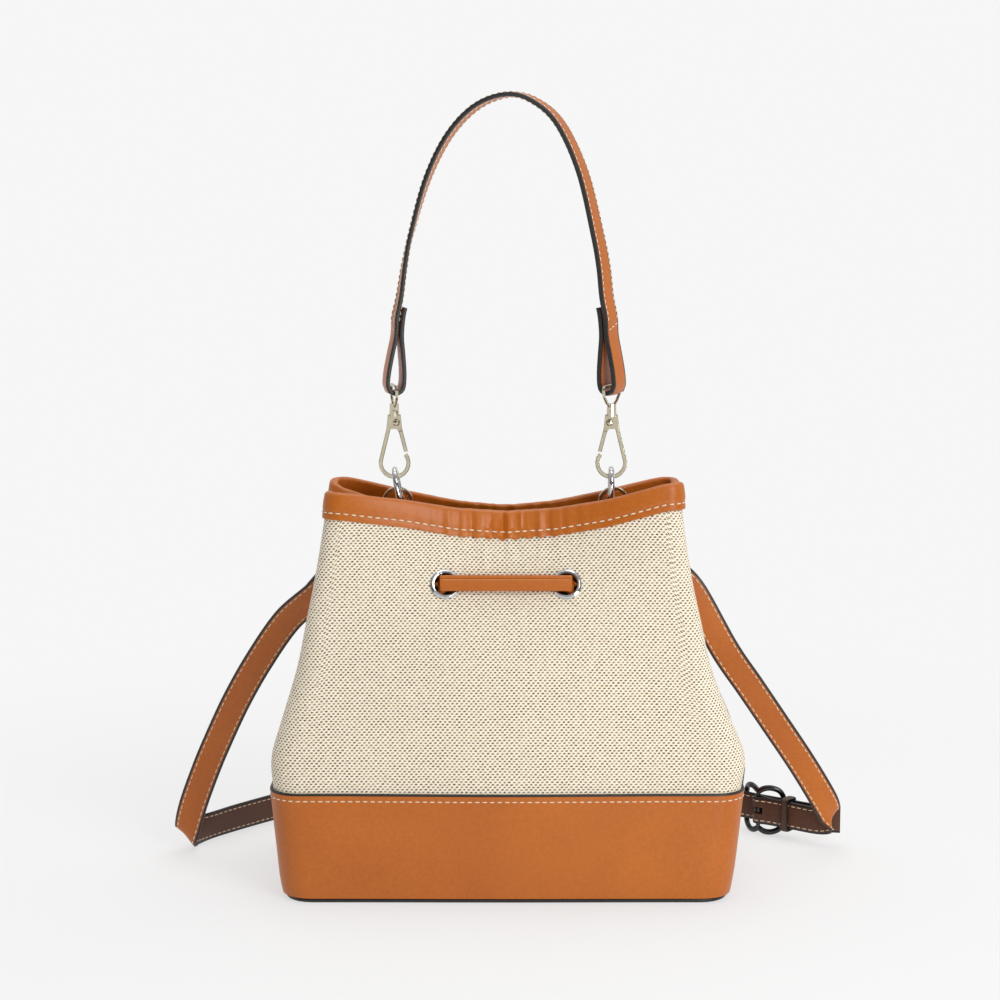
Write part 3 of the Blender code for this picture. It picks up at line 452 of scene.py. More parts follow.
def plain_look(name, grain, low, high, roughness, bump, sheen=0.0):
    """One noise, given by its scale, detail and roughness, makes both the tone and the relief."""
    n = Nodes(name)
    rough = n.noise(n.place(), *grain)
    colour = n.ramp(rough, ((0.3, low), (0.7, high)))
    n.set(Base_Color=colour, Roughness=roughness, Sheen_Weight=sheen, Normal=n.bump(rough, *bump))
    return n.look


def canvas_look():
    """Cream cloth: a dark yarn shows as small dots in staggered rows. The UV map is in millimetres."""
    n = Nodes("canvas_cream")
    across, rise = 2.82, 1.54
    dot_width, dot_height, slant = 0.74, 0.45, -0.2
    uv = n.add("ShaderNodeUVMap", uv_map="surface").outputs["UV"]
    # The yarns wander a little
    wander = n.add("ShaderNodeTexNoise", {"Vector": uv, "Scale": 0.09}).outputs["Color"]
    shift = n.add("ShaderNodeVectorMath", {0: wander, 2: uv}, operation="MULTIPLY_ADD")
    shift.inputs[1].default_value = (1.6, 1.0, 0)
    apart = n.add("ShaderNodeSeparateXYZ", {0: shift.outputs[0]})
    row = n.math("DIVIDE", apart.outputs[1], rise)
    row_number = n.math("FLOOR", row)
    half = n.times(n.math("MODULO", n.plus(row_number, 1000), 2), 0.5)
    column = n.plus(n.math("DIVIDE", apart.outputs[0], across), half)
    column_number = n.math("FLOOR", column)
    dx = n.math("SUBTRACT", n.math("FRACT", column), 0.5)
    dy = n.math("SUBTRACT", n.math("FRACT", row), 0.5)
    cell = n.add("ShaderNodeCombineXYZ", {0: column_number, 1: row_number}).outputs[0]
    chance = n.add("ShaderNodeTexWhiteNoise", {"Vector": cell}, noise_dimensions="2D")
    leaning = n.plus(dy, n.times(dx, slant))
    ex = n.math("DIVIDE", n.times(dx, across), dot_width)
    ey = n.math("DIVIDE", n.times(leaning, rise), dot_height)
    reach = n.math("SQRT", n.plus(n.times(ex, ex), n.times(ey, ey)))
    dot = n.math("MULTIPLY", n.math("SUBTRACT", 1.35, reach), 1.8, clamp=True)
    strength = n.plus(n.times(chance.outputs["Value"], 0.3), 0.72)
    mark = n.times(dot, strength)
    yarn = n.noise(uv, 0.7, 3)
    stain = n.noise(uv, 0.03, 2)
    cream = n.ramp(yarn, ((0.3, (0.84, 0.71, 0.51)), (0.5, (0.95, 0.84, 0.66)), (0.7, (1.0, 0.93, 0.78))))
    cloth = n.mix(n.times(stain, 0.2), cream, (0.74, 0.63, 0.45))
    n.set(Base_Color=n.mix(mark, cloth, (0.065, 0.043, 0.026)))
    rib = n.math("ABSOLUTE", n.math("SINE", n.times(column, math.pi)))
    weft = n.math("ABSOLUTE", n.math("SINE", n.times(row, math.pi)))
    height = n.math("SUBTRACT", n.times(n.plus(rib, weft), 0.4), mark)
    n.set(Roughness=0.9, Sheen_Weight=0.15, Sheen_Roughness=0.5, Normal=n.bump(height, 0.55, 0.0004))
    return n.look


def metal_look(name, colour, roughness):
    n = Nodes(name)
    wear = n.noise(n.place(), 300, 4, 0.6)
    tint = n.ramp(wear, ((0.35, tuple(0.86 * c for c in colour)), (0.6, colour)))
    gloss = n.plus(n.times(wear, 0.12), roughness - 0.05)
    n.set(Base_Color=tint, Metallic=1.0, Roughness=gloss, Normal=n.bump(wear, 0.08, 0.0003))
    return n.look


TAN_TONES = ((0.53, 0.146, 0.012), (0.455, 0.117, 0.0085), (0.38, 0.09, 0.006))
BACK_TONES = ((0.12, 0.048, 0.024), (0.085, 0.033, 0.016), (0.055, 0.021, 0.01))
RAW_TONES = ((0.8, 0.42, 0.17), (0.7, 0.34, 0.12), (0.55, 0.24, 0.07))
BROWN_TONES = ((0.11, 0.05, 0.03), (0.08, 0.036, 0.02), (0.05, 0.022, 0.012))

TAN = leather_look("leather_tan_smooth", TAN_TONES, 0.38)
TAN_BACK = leather_look("leather_inner_face", BACK_TONES, 0.5)
RAW = leather_look("leather_raw_edge", RAW_TONES, 0.6)
BROWN = leather_look("leather_dark_brown", BROWN_TONES, 0.6)
CANVAS = canvas_look()
BLACK = plain_look(
    "edge_paint_black", (700, 3), (0.006, 0.005, 0.005), (0.022, 0.019, 0.017), 0.42, (0.3, 2e-4)
)
THREAD = plain_look("thread_cream", (1800, 2), (0.62, 0.5, 0.34), (0.86, 0.77, 0.6), 0.75, (0.5, 2e-4), 0.2)
LINING = plain_look("lining_cloth", (900, 2), (0.2, 0.13, 0.075), (0.34, 0.235, 0.14), 0.9, (0.4, 3e-4))
BOARD = plain_look("board_grey", (600, 4, 0.7), (0.14, 0.12, 0.095), (0.24, 0.205, 0.165), 0.95, (0.3, 3e-4))
CHROME = metal_look("chrome_polished", (0.62, 0.62, 0.63), 0.1)
GOLD = metal_look("pale_gold_plate", (0.6, 0.54, 0.4), 0.14)
GUNMETAL = metal_look("gunmetal_plate", (0.06, 0.06, 0.062), 0.2)


# Body surface


# The section table with smooth curves between its rows
DENSE = smooth_path(SECTIONS, 1.0)


def section_at(height):
    return [np.interp(height, DENSE[:, 0], DENSE[:, i]) for i in range(1, DENSE.shape[1])]


def rounded(corners):
    """Arcs for rounded (x, y, radius) corners; the first and last corners only give directions."""
    spots = [np.array(corner[:2], float) for corner in corners]
    arcs = []
    for i in range(1, len(corners) - 1):
        corner = spots[i]
        radius = corners[i][2]
        before, after = spots[i - 1] - corner, spots[i + 1] - corner
        reach = 0.48 * min(np.linalg.norm(before), np.linalg.norm(after))
        before, after = unit(before), unit(after)
        half = max(math.acos(np.clip(np.dot(before, after), -1, 1)) / 2, 1e-3)
        tangent = min(max(radius / math.tan(half), SHORTEST_CUT), reach)
        start, end = corner + before * tangent, corner + after * tangent
        bulge = corner - (start + end) / 2
        depth = np.linalg.norm(bulge)
        if depth < 1e-6:
            arcs.append([start + (end - start) * t for t in np.linspace(0, 1, ARC_STEPS + 1)])
            continue
        centre = corner - bulge / depth * (tangent / math.cos(half))
        first, last = start - centre, end - centre
        side = np.sign(first[0] * last[1] - first[1] * last[0])
        points = []
        for angle in np.linspace(0, side * (math.pi - 2 * half), ARC_STEPS + 1):
            turn = np.array([[math.cos(angle), -math.sin(angle)], [math.sin(angle), math.cos(angle)]])
            points.append(centre + turn @ first)
        arcs.append(points)
    return arcs


def half_outline(a, b, c, groove, ear, floor, radius):
    """One side's half of an outline, drawn to the right, from the front centre to the back centre."""
    groove = min(groove, a)
    straight = a - radius
    edge = []
    for u in np.arange(FRONT_STEPS) / FRONT_STEPS:
        share = 0.5 * (1 + math.cos(math.pi * u))
        edge.append(np.array([straight * u, b + (c - b) * share]))
    corners = [
        (straight * 0.9, -b, 0),
        (a, -b, radius),
        (a, -ear, EAR_RADIUS),
        (groove, -floor, GROOVE_RADIUS),
        (groove, floor, GROOVE_RADIUS),
        (a, ear, EAR_RADIUS),
        (a, b, radius),
        (straight * 0.9, b, 0),
    ]
    arcs = rounded(corners)
    half = [point * np.array([1, -1]) for point in edge]
    for arc_points, steps, following in zip(arcs, (4, 12, 4, 12, 4, 0), [*arcs[1:], None]):
        half += arc_points
        if following is not None:
            ends = arc_points[-1], following[0]
            half += [ends[0] + (ends[1] - ends[0]) * t for t in np.arange(1, steps) / steps]
    return half + list(reversed(edge))


def outline_at(height):
    """The outline at one height: the right half from the front centre to the back centre, then the left."""
    left, right, *rest = section_at(height)
    mirrored = [point * np.array([-1, 1]) for point in reversed(half_outline(left, *rest)[1:-1])]
    return np.array([*half_outline(right, *rest), *mirrored])


def outward(outline):
    step = np.roll(outline, -1, 0) - np.roll(outline, 1, 0)
    normal = np.column_stack([step[:, 1], -step[:, 0]])
    return normal / np.linalg.norm(normal, axis=1)[:, None]


# One outline for each millimetre of height
GRID = np.array([outline_at(z) for z in range(BODY_TOP + 1)])
GRID_NORMALS = np.array([outward(outline) for outline in GRID])
COLUMNS = GRID.shape[1]
RIGHT_HALF = GRID[-1, : COLUMNS // 2 + 1]
# The columns in the middle of each side, and those of the front, the back and the whole way round
SIDE_RIGHT = int(np.argmin(np.abs(RIGHT_HALF[:, 1]) + (RIGHT_HALF[:, 0] < 20) * 1000))
SIDE_LEFT = COLUMNS - SIDE_RIGHT
FRONT = [(SIDE_LEFT + i) % COLUMNS for i in range(2 * SIDE_RIGHT + 1)]
BACK = list(range(SIDE_RIGHT, SIDE_LEFT + 1))
AROUND = list(range(COLUMNS))


def rim_line():
    """Height of the canvas's top edge at every column, smooth along the front and back."""
    x, y = GRID[-1, :, 0], GRID[-1, :, 1]
    left, right, b, _, groove, ear, floor, radius = section_at(BODY_TOP)
    line = np.zeros(COLUMNS)
    for k in range(COLUMNS):
        side = "right" if x[k] >= 0 else "left"
        marks = FRONT_RIM[side] if y[k] < 0 else BACK_RIM
        a = right if side == "right" else left
        front = abs(y[k]) > (b + ear) / 2 or abs(x[k]) < groove
        if abs(y[k]) <= floor + 0.4 and abs(x[k]) > groove - 1:
            inner = (abs(x[k]) - groove) / (a - groove)
            line[k] = GROOVE_RIM + (marks[3] - 1 - GROOVE_RIM) * np.clip(inner, 0, 1) ** 1.3
        elif front:
            line[k] = np.interp(abs(x[k]) / (a - radius), (0, 0.3, 0.62, 1), marks)
        else:
            line[k] = marks[3] - 0.5
    for _ in range(10):
        line = (np.roll(line, 1) + 2 * line + np.roll(line, -1)) / 4
    return line


RIM = rim_line()


def softness(spot, height):
    """How far the cloth stands from its plain surface: gathers under the rim and a gentle unevenness."""
    x, y = spot
    near = min(math.hypot(abs(x) - EYELET_X, height - EYELET_Z), 40)
    calm = np.clip((near - 10.5) / 9, 0, 1)
    gather = math.exp(-((x / 40) ** 2)) * np.clip((height - 192) / 26, 0, 1) if abs(x) < 75 else 0
    if abs(y) < 5 and height < 200:
        gather = 0
    side = 0 if y < 0 else 1.7
    bend = x + 1.6 * math.sin(x / 7 + side) + 0.06 * (height - 220)
    wave = math.sin(bend / 1.45) + 0.6 * math.sin(bend / 2.6 + 1.1) + 0.5 * math.sin(bend / 0.8 + 2 * side)
    drift = noise.noise(Vector((x / 45, y / 45, height / 55))) * 0.9
    return (gather * wave * 0.55 + drift * np.clip((height - 60) / 25, 0, 1) * 0.8) * calm


def skin(column, height, offset=0.0, soft=True):
    column %= COLUMNS
    t = np.clip(height, 0, BODY_TOP)
    k = min(int(t), BODY_TOP - 1)
    t -= k
    spot = GRID[k, column] * (1 - t) + GRID[k + 1, column] * t
    normal = unit(GRID_NORMALS[k, column] * (1 - t) + GRID_NORMALS[k + 1, column] * t)
    push = softness(spot, height) if soft else 0.0
    return np.array([*(spot + normal * (offset + push)), height])


def shell(name, columns, heights, inner, outer, closed=False):
    """A sheet with thickness between two offsets of the body, with UVs in millimetres."""
    outer_grid = np.array([[skin(c, h, outer) for h in heights(c)] for c in columns])
    inner_grid = np.array([[skin(c, h, inner) for h in heights(c)] for c in columns])
    wide, tall = outer_grid.shape[:2]
    middle = int(np.argmin(np.abs(outer_grid[:, 0, 0])))
    sideways = np.linalg.norm(np.diff(outer_grid, axis=0), axis=2)
    upward = np.linalg.norm(np.diff(outer_grid, axis=1), axis=2)
    along = np.concatenate([np.zeros((1, tall)), np.cumsum(sideways, 0)])
    along -= along[middle]
    up = np.concatenate([np.zeros((wide, 1)), np.cumsum(upward, 1)], 1)
    points = np.concatenate([outer_grid.reshape(-1, 3), inner_grid.reshape(-1, 3)])
    uvs = [tuple(pair) for pair in np.stack([along, up], 2).reshape(-1, 2)] * 2
    far = wide * tall
    faces = []
    for i in range(wide if closed else wide - 1):
        ii = (i + 1) % wide
        for j in range(tall - 1):
            a, b = i * tall + j, ii * tall + j
            faces.append((a, b, b + 1, a + 1))
            faces.append((far + a, far + a + 1, far + b + 1, far + b))
        for a, b in ((i * tall, ii * tall), (i * tall + tall - 1, ii * tall + tall - 1)):
            faces.append((a, b, far + b, far + a))
    if not closed:
        for j in range(tall - 1):
            for a in (j, (wide - 1) * tall + j):
                faces.append((a, a + 1, far + a + 1, far + a))
    return make_mesh(name, points, faces, None, uvs)


def loft_ring(name, section):
    """A section of (height, offset) pairs at each column, joined all the way round."""
    points = [skin(c, z, r) for c in AROUND for z, r in section(c)]
    return make_mesh(name, points, tube_faces(COLUMNS, len(points) // COLUMNS, True))


def plate(name, offset, low, high, rounding):
    """A flat sheet that fills the body's outline, with rounded edges."""
    inset = offset - rounding
    profile = ((inset, low), (offset, low + rounding), (offset, high - rounding), (inset, high))
    points = [[*skin(c, low, r)[:2], z] for r, z in profile for c in AROUND]
    top = (len(profile) - 1) * COLUMNS
    faces = [tuple(AROUND), tuple(top + i for i in AROUND)]
    for row in range(len(profile) - 1):
        for i in AROUND:
            a, b = row * COLUMNS + i, row * COLUMNS + (i + 1) % COLUMNS
            faces.append((a, b, b + COLUMNS, a + COLUMNS))
    return make_mesh(name, points, faces)


def line_on_body(columns, height, offset):
    """Points with outward normals along the body, for stitching."""
    rows = []
    for c in columns:
        h = height(c)
        normal = GRID_NORMALS[min(int(h), BODY_TOP - 1), c]
        rows.append([*skin(c, h, offset), *normal, 0])
    return rows


def eyelet_tools(radius):
    """Cylinders through the eyelets of the front and the back."""
    tools = {}
    for face, sign in (("front", -1), ("back", 1)):
        normal = (0, sign * math.cos(EYELET_LEAN), math.sin(EYELET_LEAN))
        tools[face] = []
        for side in ("left", "right"):
            low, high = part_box(f"eyelet_{face}_{side}")
            centre = (Vector(low) + Vector(high)) / 2 / MM
            tools[face].append(cylinder(radius, -7, 7, 32, frame_matrix(centre, X_AXIS, normal)))
    return tools


def make_body():
    tools = eyelet_tools(EYELET_BARREL + 0.5)
    band_heights = [3.0, 3.8, 5.5, *np.linspace(8, 64.5, 11), 65.4, 65.8]
    for name, columns in (("front", FRONT), ("back", BACK)):
        cloth = f"canvas_{name}_cloth"
        panel = shell(cloth, columns, lambda c: np.linspace(57, RIM[c], 42), -CANVAS_THICKNESS, 0)
        cut(add_piece(panel, [CANVAS], [f"canvas_{name}"]), tools[name])
        band = shell(f"base_band_{name}_leather", columns, lambda c: band_heights, BASE_INSIDE, BASE_OUTSIDE)
        add_piece(band, [TAN], [f"base_band_{name}"])

    edge = ((-0.4, 0.3), (-0.4, 1.6), (0.0, 2.0), (0.6, 1.9), (1.0, 1.3), (1.0, 0.3))
    band_edge = loft_ring("base_band_edge", lambda c: [(BASE_SEAM + z, r) for z, r in edge])
    add_piece(band_edge, [BLACK])

    lining = shell("lining_cloth", AROUND, lambda c: np.linspace(5, RIM[c], 34), -2.2, -1.5, True)
    cut(add_piece(lining, [LINING], ["lining"]), tools["front"] + tools["back"])
    add_piece(plate("lining_floor", -1.9, 5.0, 5.7, 0.2), [LINING])


def pucker(x, y):
    """Creases that the gathers leave in the binding near the middle of each side."""
    near = math.exp(-((x / 36) ** 4))
    phase = 0 if y < 0 else 2.1
    return near * 0.36 * (math.sin(x / 0.62 + phase) + math.sin(x / 1.1 + 2 * math.sin(x / 9 + phase)))


def make_bottom():
    panel = plate("bottom_panel_leather", -3.6, 0.0, 2.4, 0.35)
    add_piece(panel, [BROWN], ["bottom_panel"])
    board = plate("stiffener_board_sheet", -4.0, 2.9, 4.5, 0.2)
    add_piece(board, [BOARD], ["stiffener_board"])
    profile = ((-3.3, 0.05), (0.2, 0), (0.7, 0.4), (0.9, 1.0), (0.9, 1.6), (0.7, 2.2), (0.2, 2.6), (-3.3, 2.6))
    points = [[*skin(c, 0, r, False)[:2], z] for c in AROUND for r, z in profile]
    welt = make_mesh("bottom_welt_edge", points, tube_faces(COLUMNS, len(profile), True))
    add_piece(welt, [BLACK], ["bottom_welt"])


def make_side_seams():
    """The bound edges that stand out along the middle of each side."""
    for side, column in (("right", SIDE_RIGHT), ("left", SIDE_LEFT)):
        half = SIDE_SEAM_STAND[side] / 2
        turn = loop_path(half, SIDE_SEAM_WIDTH / 2, 0.9, 4)
        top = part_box(f"side_seam_{side}")[1][2] / MM
        path = [skin(column, h, 0.5 + half, False) for h in np.arange(4.6, top, 3.0)]
        fin = sweep(f"side_seam_{side}_edge", path, X_AXIS, turn)
        add_piece(fin, [BLACK], [f"side_seam_{side}"])


def make_rim():
    def scallop(column):
        x, y = GRID[230, column]
        near = math.exp(-((x / 34) ** 2)) if abs(y) > 8 or abs(x) < 40 else 0
        return near * 0.7 * math.sin(x / 1.25 + (0 if y < 0 else 1.3))

    def section(column):
        top = RIM[column]
        low = top - BINDING_DROP + scallop(column)
        x, y = GRID[-1, column]
        lap = RIM_LAP if y < 0 and x > RIM_LAP_X else 0
        outer, inner = BINDING_OUTSIDE + lap + pucker(x, y), BINDING_INSIDE
        middle, half = (outer + inner) / 2, (outer - inner) / 2
        over = np.radians(np.linspace(0, 180, 9))
        rows = [(low + 0.2, 0.3), (low, 0.9), (low + 0.3, outer - 0.15), (low + 1.4, outer)]
        rows += [(low + 2.9, outer), (low + 3.9, outer - 0.35), (low + 4.9, outer)]
        rows += [(low + (top - low) * t, outer + 0.35 * math.sin(math.pi * t)) for t in (0.45, 0.6, 0.75)]
        rows += [(top - 0.6 + 2.1 * math.sin(a), middle + half * math.cos(a)) for a in over]
        rows += [(top - 6, inner), (low + 0.6, inner), (low, inner + 0.6), (low + 0.2, inner + 1.2)]
        return [*rows, (top - 0.4, inner + 1.3), (top - 0.4, 0.2)]

    add_piece(loft_ring("rim_binding_leather", section), [TAN], ["rim_binding"])


def make_body_stitches():
    rows = [line_on_body(columns, lambda c: BASE_SEAM - 3.4, BASE_OUTSIDE) for columns in (FRONT, BACK)]
    add_piece(stitch_mesh("base_stitches", rows), [THREAD])
    rim = line_on_body([*AROUND, 0], lambda c: RIM[c] - BINDING_DROP + 4.0, 1.75)
    add_piece(stitch_mesh("rim_stitches", [rim], 4.8, 3.2, 0.85), [THREAD])


# Straps


def strap_stitches(path, across, half_width, thickness):
    """Two rows of stitching along each face of a strap."""
    trim = 3.0
    sides, normals = frames_along(path, across)
    lines = []
    for face in (1, -1):
        for edge in (-1, 1):
            spots = path + sides * edge * half_width + normals * face * thickness / 2
            rows = np.column_stack([spots, normals * face])
            lines.append(at_lengths(rows, np.arange(trim, run_lengths(rows)[-1] - trim, 2.0)))
    return lines


def hook_x(side):
    return RING_X[side] + RING_HEIGHT * math.sin(RING_LEAN[side])


def handle_end(side):
    """The handle's line where it is folded round a hook's eye, with its turn about the vertical."""
    yaw = HANDLE_YAW[side]
    away = 1 if side == "right" else -1
    outer = ((3.43, 52.6), (4.85, 56), (4.7, 64), (3.3, 75), (1.75, 86))
    inner = [(-out, height) for out, height in reversed(outer)]
    points = []
    for out, height in [(-2.75, 103), (-1.9, 97), *inner, (0, 51.2), *outer, (1.75, 97)]:
        across = (out - 0.07 * (height - 56)) * away
        x = hook_x(side) + across * math.cos(yaw)
        points.append([x, -across * math.sin(yaw), HANDLE_PIVOT_Z + height, yaw])
    return points


def make_handle():
    # x, height and turn about the vertical, in degrees
    arch = (
        *((-64.0, 356, -10), (-61.2, 374, -6), (-57.2, 393, 0), (-46.9, 427, 8), (-33.5, 453, 12)),
        *((-16.5, 470, 15), (2.8, 476.4, 17), (19, 471.5, 19), (33, 458, 21), (45.9, 430, 24)),
        *((55, 393, 27), (58.6, 374, 29), (60.6, 356, 30)),
    )
    middle = [[x, 0, z, math.radians(turn)] for x, z, turn in arch]
    path = smooth_path([*handle_end("left"), *middle, *reversed(handle_end("right"))], 2.5)
    across = np.column_stack([np.sin(path[:, 3]), np.cos(path[:, 3]), np.zeros(len(path))])
    strap = sweep("handle_leather", path[:, :3], across, *strap_section(HANDLE_WIDTH, HANDLE_THICKNESS, 0.2))
    add_piece(strap, [TAN, BLACK, TAN], ["handle_strap"], "handle")
    folded = np.flatnonzero(path[:, 2] < HANDLE_PIVOT_Z + HANDLE_SEAM)
    middle = len(path) // 2
    leg = slice(folded[folded < middle].max() + 1, folded[folded > middle].min())
    lines = strap_stitches(path[leg, :3], across[leg], HANDLE_STITCH_ROW, HANDLE_THICKNESS)
    sides, normals = frames_along(path[:, :3], across)
    for place in (leg.start, leg.stop - 1):
        for face in (1, -1):
            outwards = normals[place] * face
            spot = path[place, :3] + outwards * HANDLE_THICKNESS / 2
            slant = sides[place] * HANDLE_STITCH_ROW + Z_AXIS * 2.2 * face
            lines.append([[*(spot + slant * u), *outwards] for u in np.linspace(-1, 1, 7)])
    add_piece(stitch_mesh("handle_stitches", lines, 3.6, 2.5, 0.7), [THREAD], body="handle")


def strap_hook_frame(side):
    sign = -1 if side == "left" else 1
    down = np.array([sign * math.sin(STRAP_ANGLE), 0, -math.cos(STRAP_ANGLE)])
    across = np.array([-sign * math.cos(STRAP_ANGLE), 0, -math.sin(STRAP_ANGLE)])
    bar = np.array([RING_X[side], 3.4, RING_BAR_Z])
    return bar - down * 5.8, down, across


def strap_start(side):
    """The long strap's line where it is folded round a hook's eye."""
    origin, down, across = strap_hook_frame(side)
    half = ((1.84, 53.76), (2.6, 55.6), (2.3, 60), (1.15, 68), (1.15, 84))
    profile = [*reversed(half), (0, 53), *[(-n, t) for n, t in half]]
    return [[*(origin + down * t + Y_AXIS * n), *across] for n, t in profile]


def at_buckle(along, toward, height=0.0):
    return BUCKLE_CENTRE + BUCKLE_ALONG * along + BUCKLE_TOWARD * toward + Z_AXIS * height


def make_long_strap():
    hanging = (0.9, 0, -0.44)
    on_edge = (0, 0, -1)
    # Places along the strap, each with the direction across it
    left = [
        *((-135.2, 12.5, 155.5, hanging), (-153.6, 19, 128.8, hanging), (-168.8, 24.5, 102, hanging)),
        *((-181.3, 28.5, 75.5, hanging), (-189.8, 30.5, 55.5, hanging), (-198.8, 34, 31, (0.95, -0.05, -0.3))),
        *((-203.8, 40, 11, (0.72, -0.27, -0.62)), (-200.5, 50, 10, (0.3, -0.2, -0.93))),
        *((-192, 64, 9.6, on_edge), (-177, 84, 9.6, on_edge), (-153, 112, 9.6, on_edge)),
        *((-128, 136, 9.8, on_edge), (-90, 149.5, 10, on_edge), (-45, 154.5, 10.4, on_edge)),
        *((0, 154.5, 11, on_edge), (45, 151, 12.2, on_edge), (85, 139, 14, on_edge), (116, 120.5, 16, on_edge)),
    ]
    right = [
        *((135.6, 9, 137, (-0.9, 0, -0.44)), (152.0, 17, 112.5, (-0.88, 0, -0.47))),
        *((168.6, 24, 87.5, (-0.86, 0, -0.51)), (186.4, 31.5, 60.5, (-0.86, 0, -0.51))),
        *((200.2, 39, 37.5, (-0.88, -0.1, -0.46)), (206.4, 43.8, 25.4, (-0.72, -0.3, -0.6))),
        (207.6, 47.6, 18.8, (-0.25, -0.2, -0.93)),
    ]
    # Places along and beside the buckle's middle line
    flat = ((-22, FLAT_STRAP), (0, FLAT_STRAP), (30, FLAT_STRAP), (42, -5.05), (49, -7.4), (55, -10.6))
    half_wrap = ((-1.95, 1.95), (0, 2.75), (3.2, 2.2), (8, 1.15), (25, 1.15))
    wrap = [(44, 1.15), *reversed(half_wrap), (-2.75, 0), *[(s, -n) for s, n in half_wrap]]
    outline = strap_section(STRAP_WIDTH, STRAP_THICKNESS, 0.12)
    turn = frame_matrix(BUCKLE_CENTRE, BUCKLE_ALONG, Z_AXIS)
    flip = turn @ Matrix.Scale(-1, 4, Vector((0, 1, 0)))
    for name, side, free, buckled in (("long", "left", left, flat), ("buckle", "right", right, wrap)):
        rows = [*strap_start(side), *[[*spot, *way] for *spot, way in free]]
        rows += [[*at_buckle(s, n), *on_edge] for s, n in buckled]
        path = smooth_path(rows, 2.5)
        mesh = sweep(f"strap_{name}_leather", path[:, :3], path[:, 3:], *outline)
        faces = [TAN, BLACK, TAN_BACK] if name == "long" else [TAN_BACK, BLACK, TAN]
        item = add_piece(mesh, faces, [f"strap_{name}_part"])
        if name == "long":
            tools = [box_tool((1.5, -12, -1.8), (10.0, -2.6, 1.8), flip)]
            tools[0].flip_normals()
            for s in STRAP_HOLES:
                place = frame_matrix(at_buckle(s, FLAT_STRAP), Z_AXIS, BUCKLE_TOWARD)
                tools.append(cylinder(STRAP_HOLE_RADIUS, -4, 4, 14, place))
        else:
            tools = [box_tool((-6, -6, -2.2), (4.6, 6, 2.2), turn)]
        cut(item, tools)
        lines = strap_stitches(path[:, :3], path[:, 3:], STRAP_STITCH_ROW, STRAP_THICKNESS)
        add_piece(stitch_mesh(f"strap_{name}_stitches", lines, 4.4, 3.2, 0.58, 0.06), [THREAD])


def loop_path(half_a, half_b, corner, steps=6):
    out = []
    for sign_a, sign_b, start in ((1, 1, 0), (-1, 1, 90), (-1, -1, 180), (1, -1, 270)):
        for step in range(steps + 1):
            angle = math.radians(start + 90 / steps * step)
            a = sign_a * (half_a - corner) + corner * math.cos(angle)
            out.append((a, sign_b * (half_b - corner) + corner * math.sin(angle)))
    return out


def make_keeper():
    centre = at_buckle(*KEEPER_PLACE)
    path = [centre + Z_AXIS * a + BUCKLE_TOWARD * b for a, b in loop_path(10.4, 5.3, 1.6)]
    section = strap_section(KEEPER_WIDTH, KEEPER_THICKNESS, 0.08)
    mesh = sweep("keeper_leather", path, BUCKLE_ALONG, *section, closed=True)
    add_piece(mesh, [BROWN, BLACK, BROWN], ["strap_keeper"], "keeper")


def make_tabs():
    """Each tab goes up inside the rim, over its ring's bar and down again behind the first leg."""
    bend = RING_WIRE + 0.35 + TAB_THICKNESS / 2
    inner_leg = ((3.6, -33.5), (-0.6, -23), (-2.6, -17.5), (-3.8, -10.5), (-3.6, -4.5))
    outer_leg = ((2.3, -5), (-1.6, -10.5), (-0.6, -17), (1.3, -22.2), (5.4, -32.8))
    over = [(-bend * math.cos(a), bend * math.sin(a)) for a in np.radians([0, 45, 90, 135, 180])]
    section = strap_section(TAB_WIDTH, TAB_THICKNESS, 0.1)
    for side, sign in (("left", -1), ("right", 1)):
        bar = np.array([RING_X[side], -2.6, RING_BAR_Z])
        route = [bar + X_AXIS * x * sign + Z_AXIS * z for x, z in [*inner_leg, *over, *outer_leg]]
        mesh = sweep(f"ring_tab_{side}_leather", smooth_path(route, 1.2), Y_AXIS, *section)
        add_piece(mesh, [TAN, BLACK, TAN], [f"ring_tab_{side}"])


# Drawstring


def wall_point(x, height, back):
    """The point of the plain front or back panel at this x and height."""
    row = GRID[int(height)] * (1 - height % 1) + GRID[int(height) + 1] * (height % 1)
    line = np.array(sorted(spot.tolist() for spot in row if spot[1] * (1 if back else -1) > 25))
    return np.array([x, np.interp(x, line[:, 0], line[:, 1]), height])


def wall_frame(side, face):
    """The middle of an eyelet, with its panel's sideways, upward and outward directions."""
    near = 6.0
    back = face == "back"
    x = EYELET_X if side == "right" else -EYELET_X
    sideways = unit(wall_point(x + near, EYELET_Z, back) - wall_point(x - near, EYELET_Z, back))
    up = unit(wall_point(x, EYELET_Z + near, back) - wall_point(x, EYELET_Z - near, back))
    normal = unit(np.cross(sideways, up)) * (-1 if back else 1)
    return wall_point(x, EYELET_Z, back), sideways, up, normal


def string_section():
    """A strip rolled into a flat cord: its free edge is a lip over a groove in the middle of the outer side."""
    outer = (
        *((4.9, 0.1), (4.7, -0.8), (4.1, -1.35), (3.2, -1.5), (2.5, -1.4), (2.2, -0.65), (1.95, -1.25)),
        *((1.55, -1.6), (0.4, -1.6), (-1.4, -1.6), (-3.0, -1.45), (-4.2, -1.0), (-4.8, -0.4)),
    )
    inner = ((-4.9, 0.3), (-4.4, 1.1), (-3.5, 1.5), (-1.7, 1.6), (1.7, 1.6), (3.5, 1.5), (4.4, 1.1))
    lip = (5, 6)
    return [*outer, *inner], lambda j: 1 if j in lip else 0


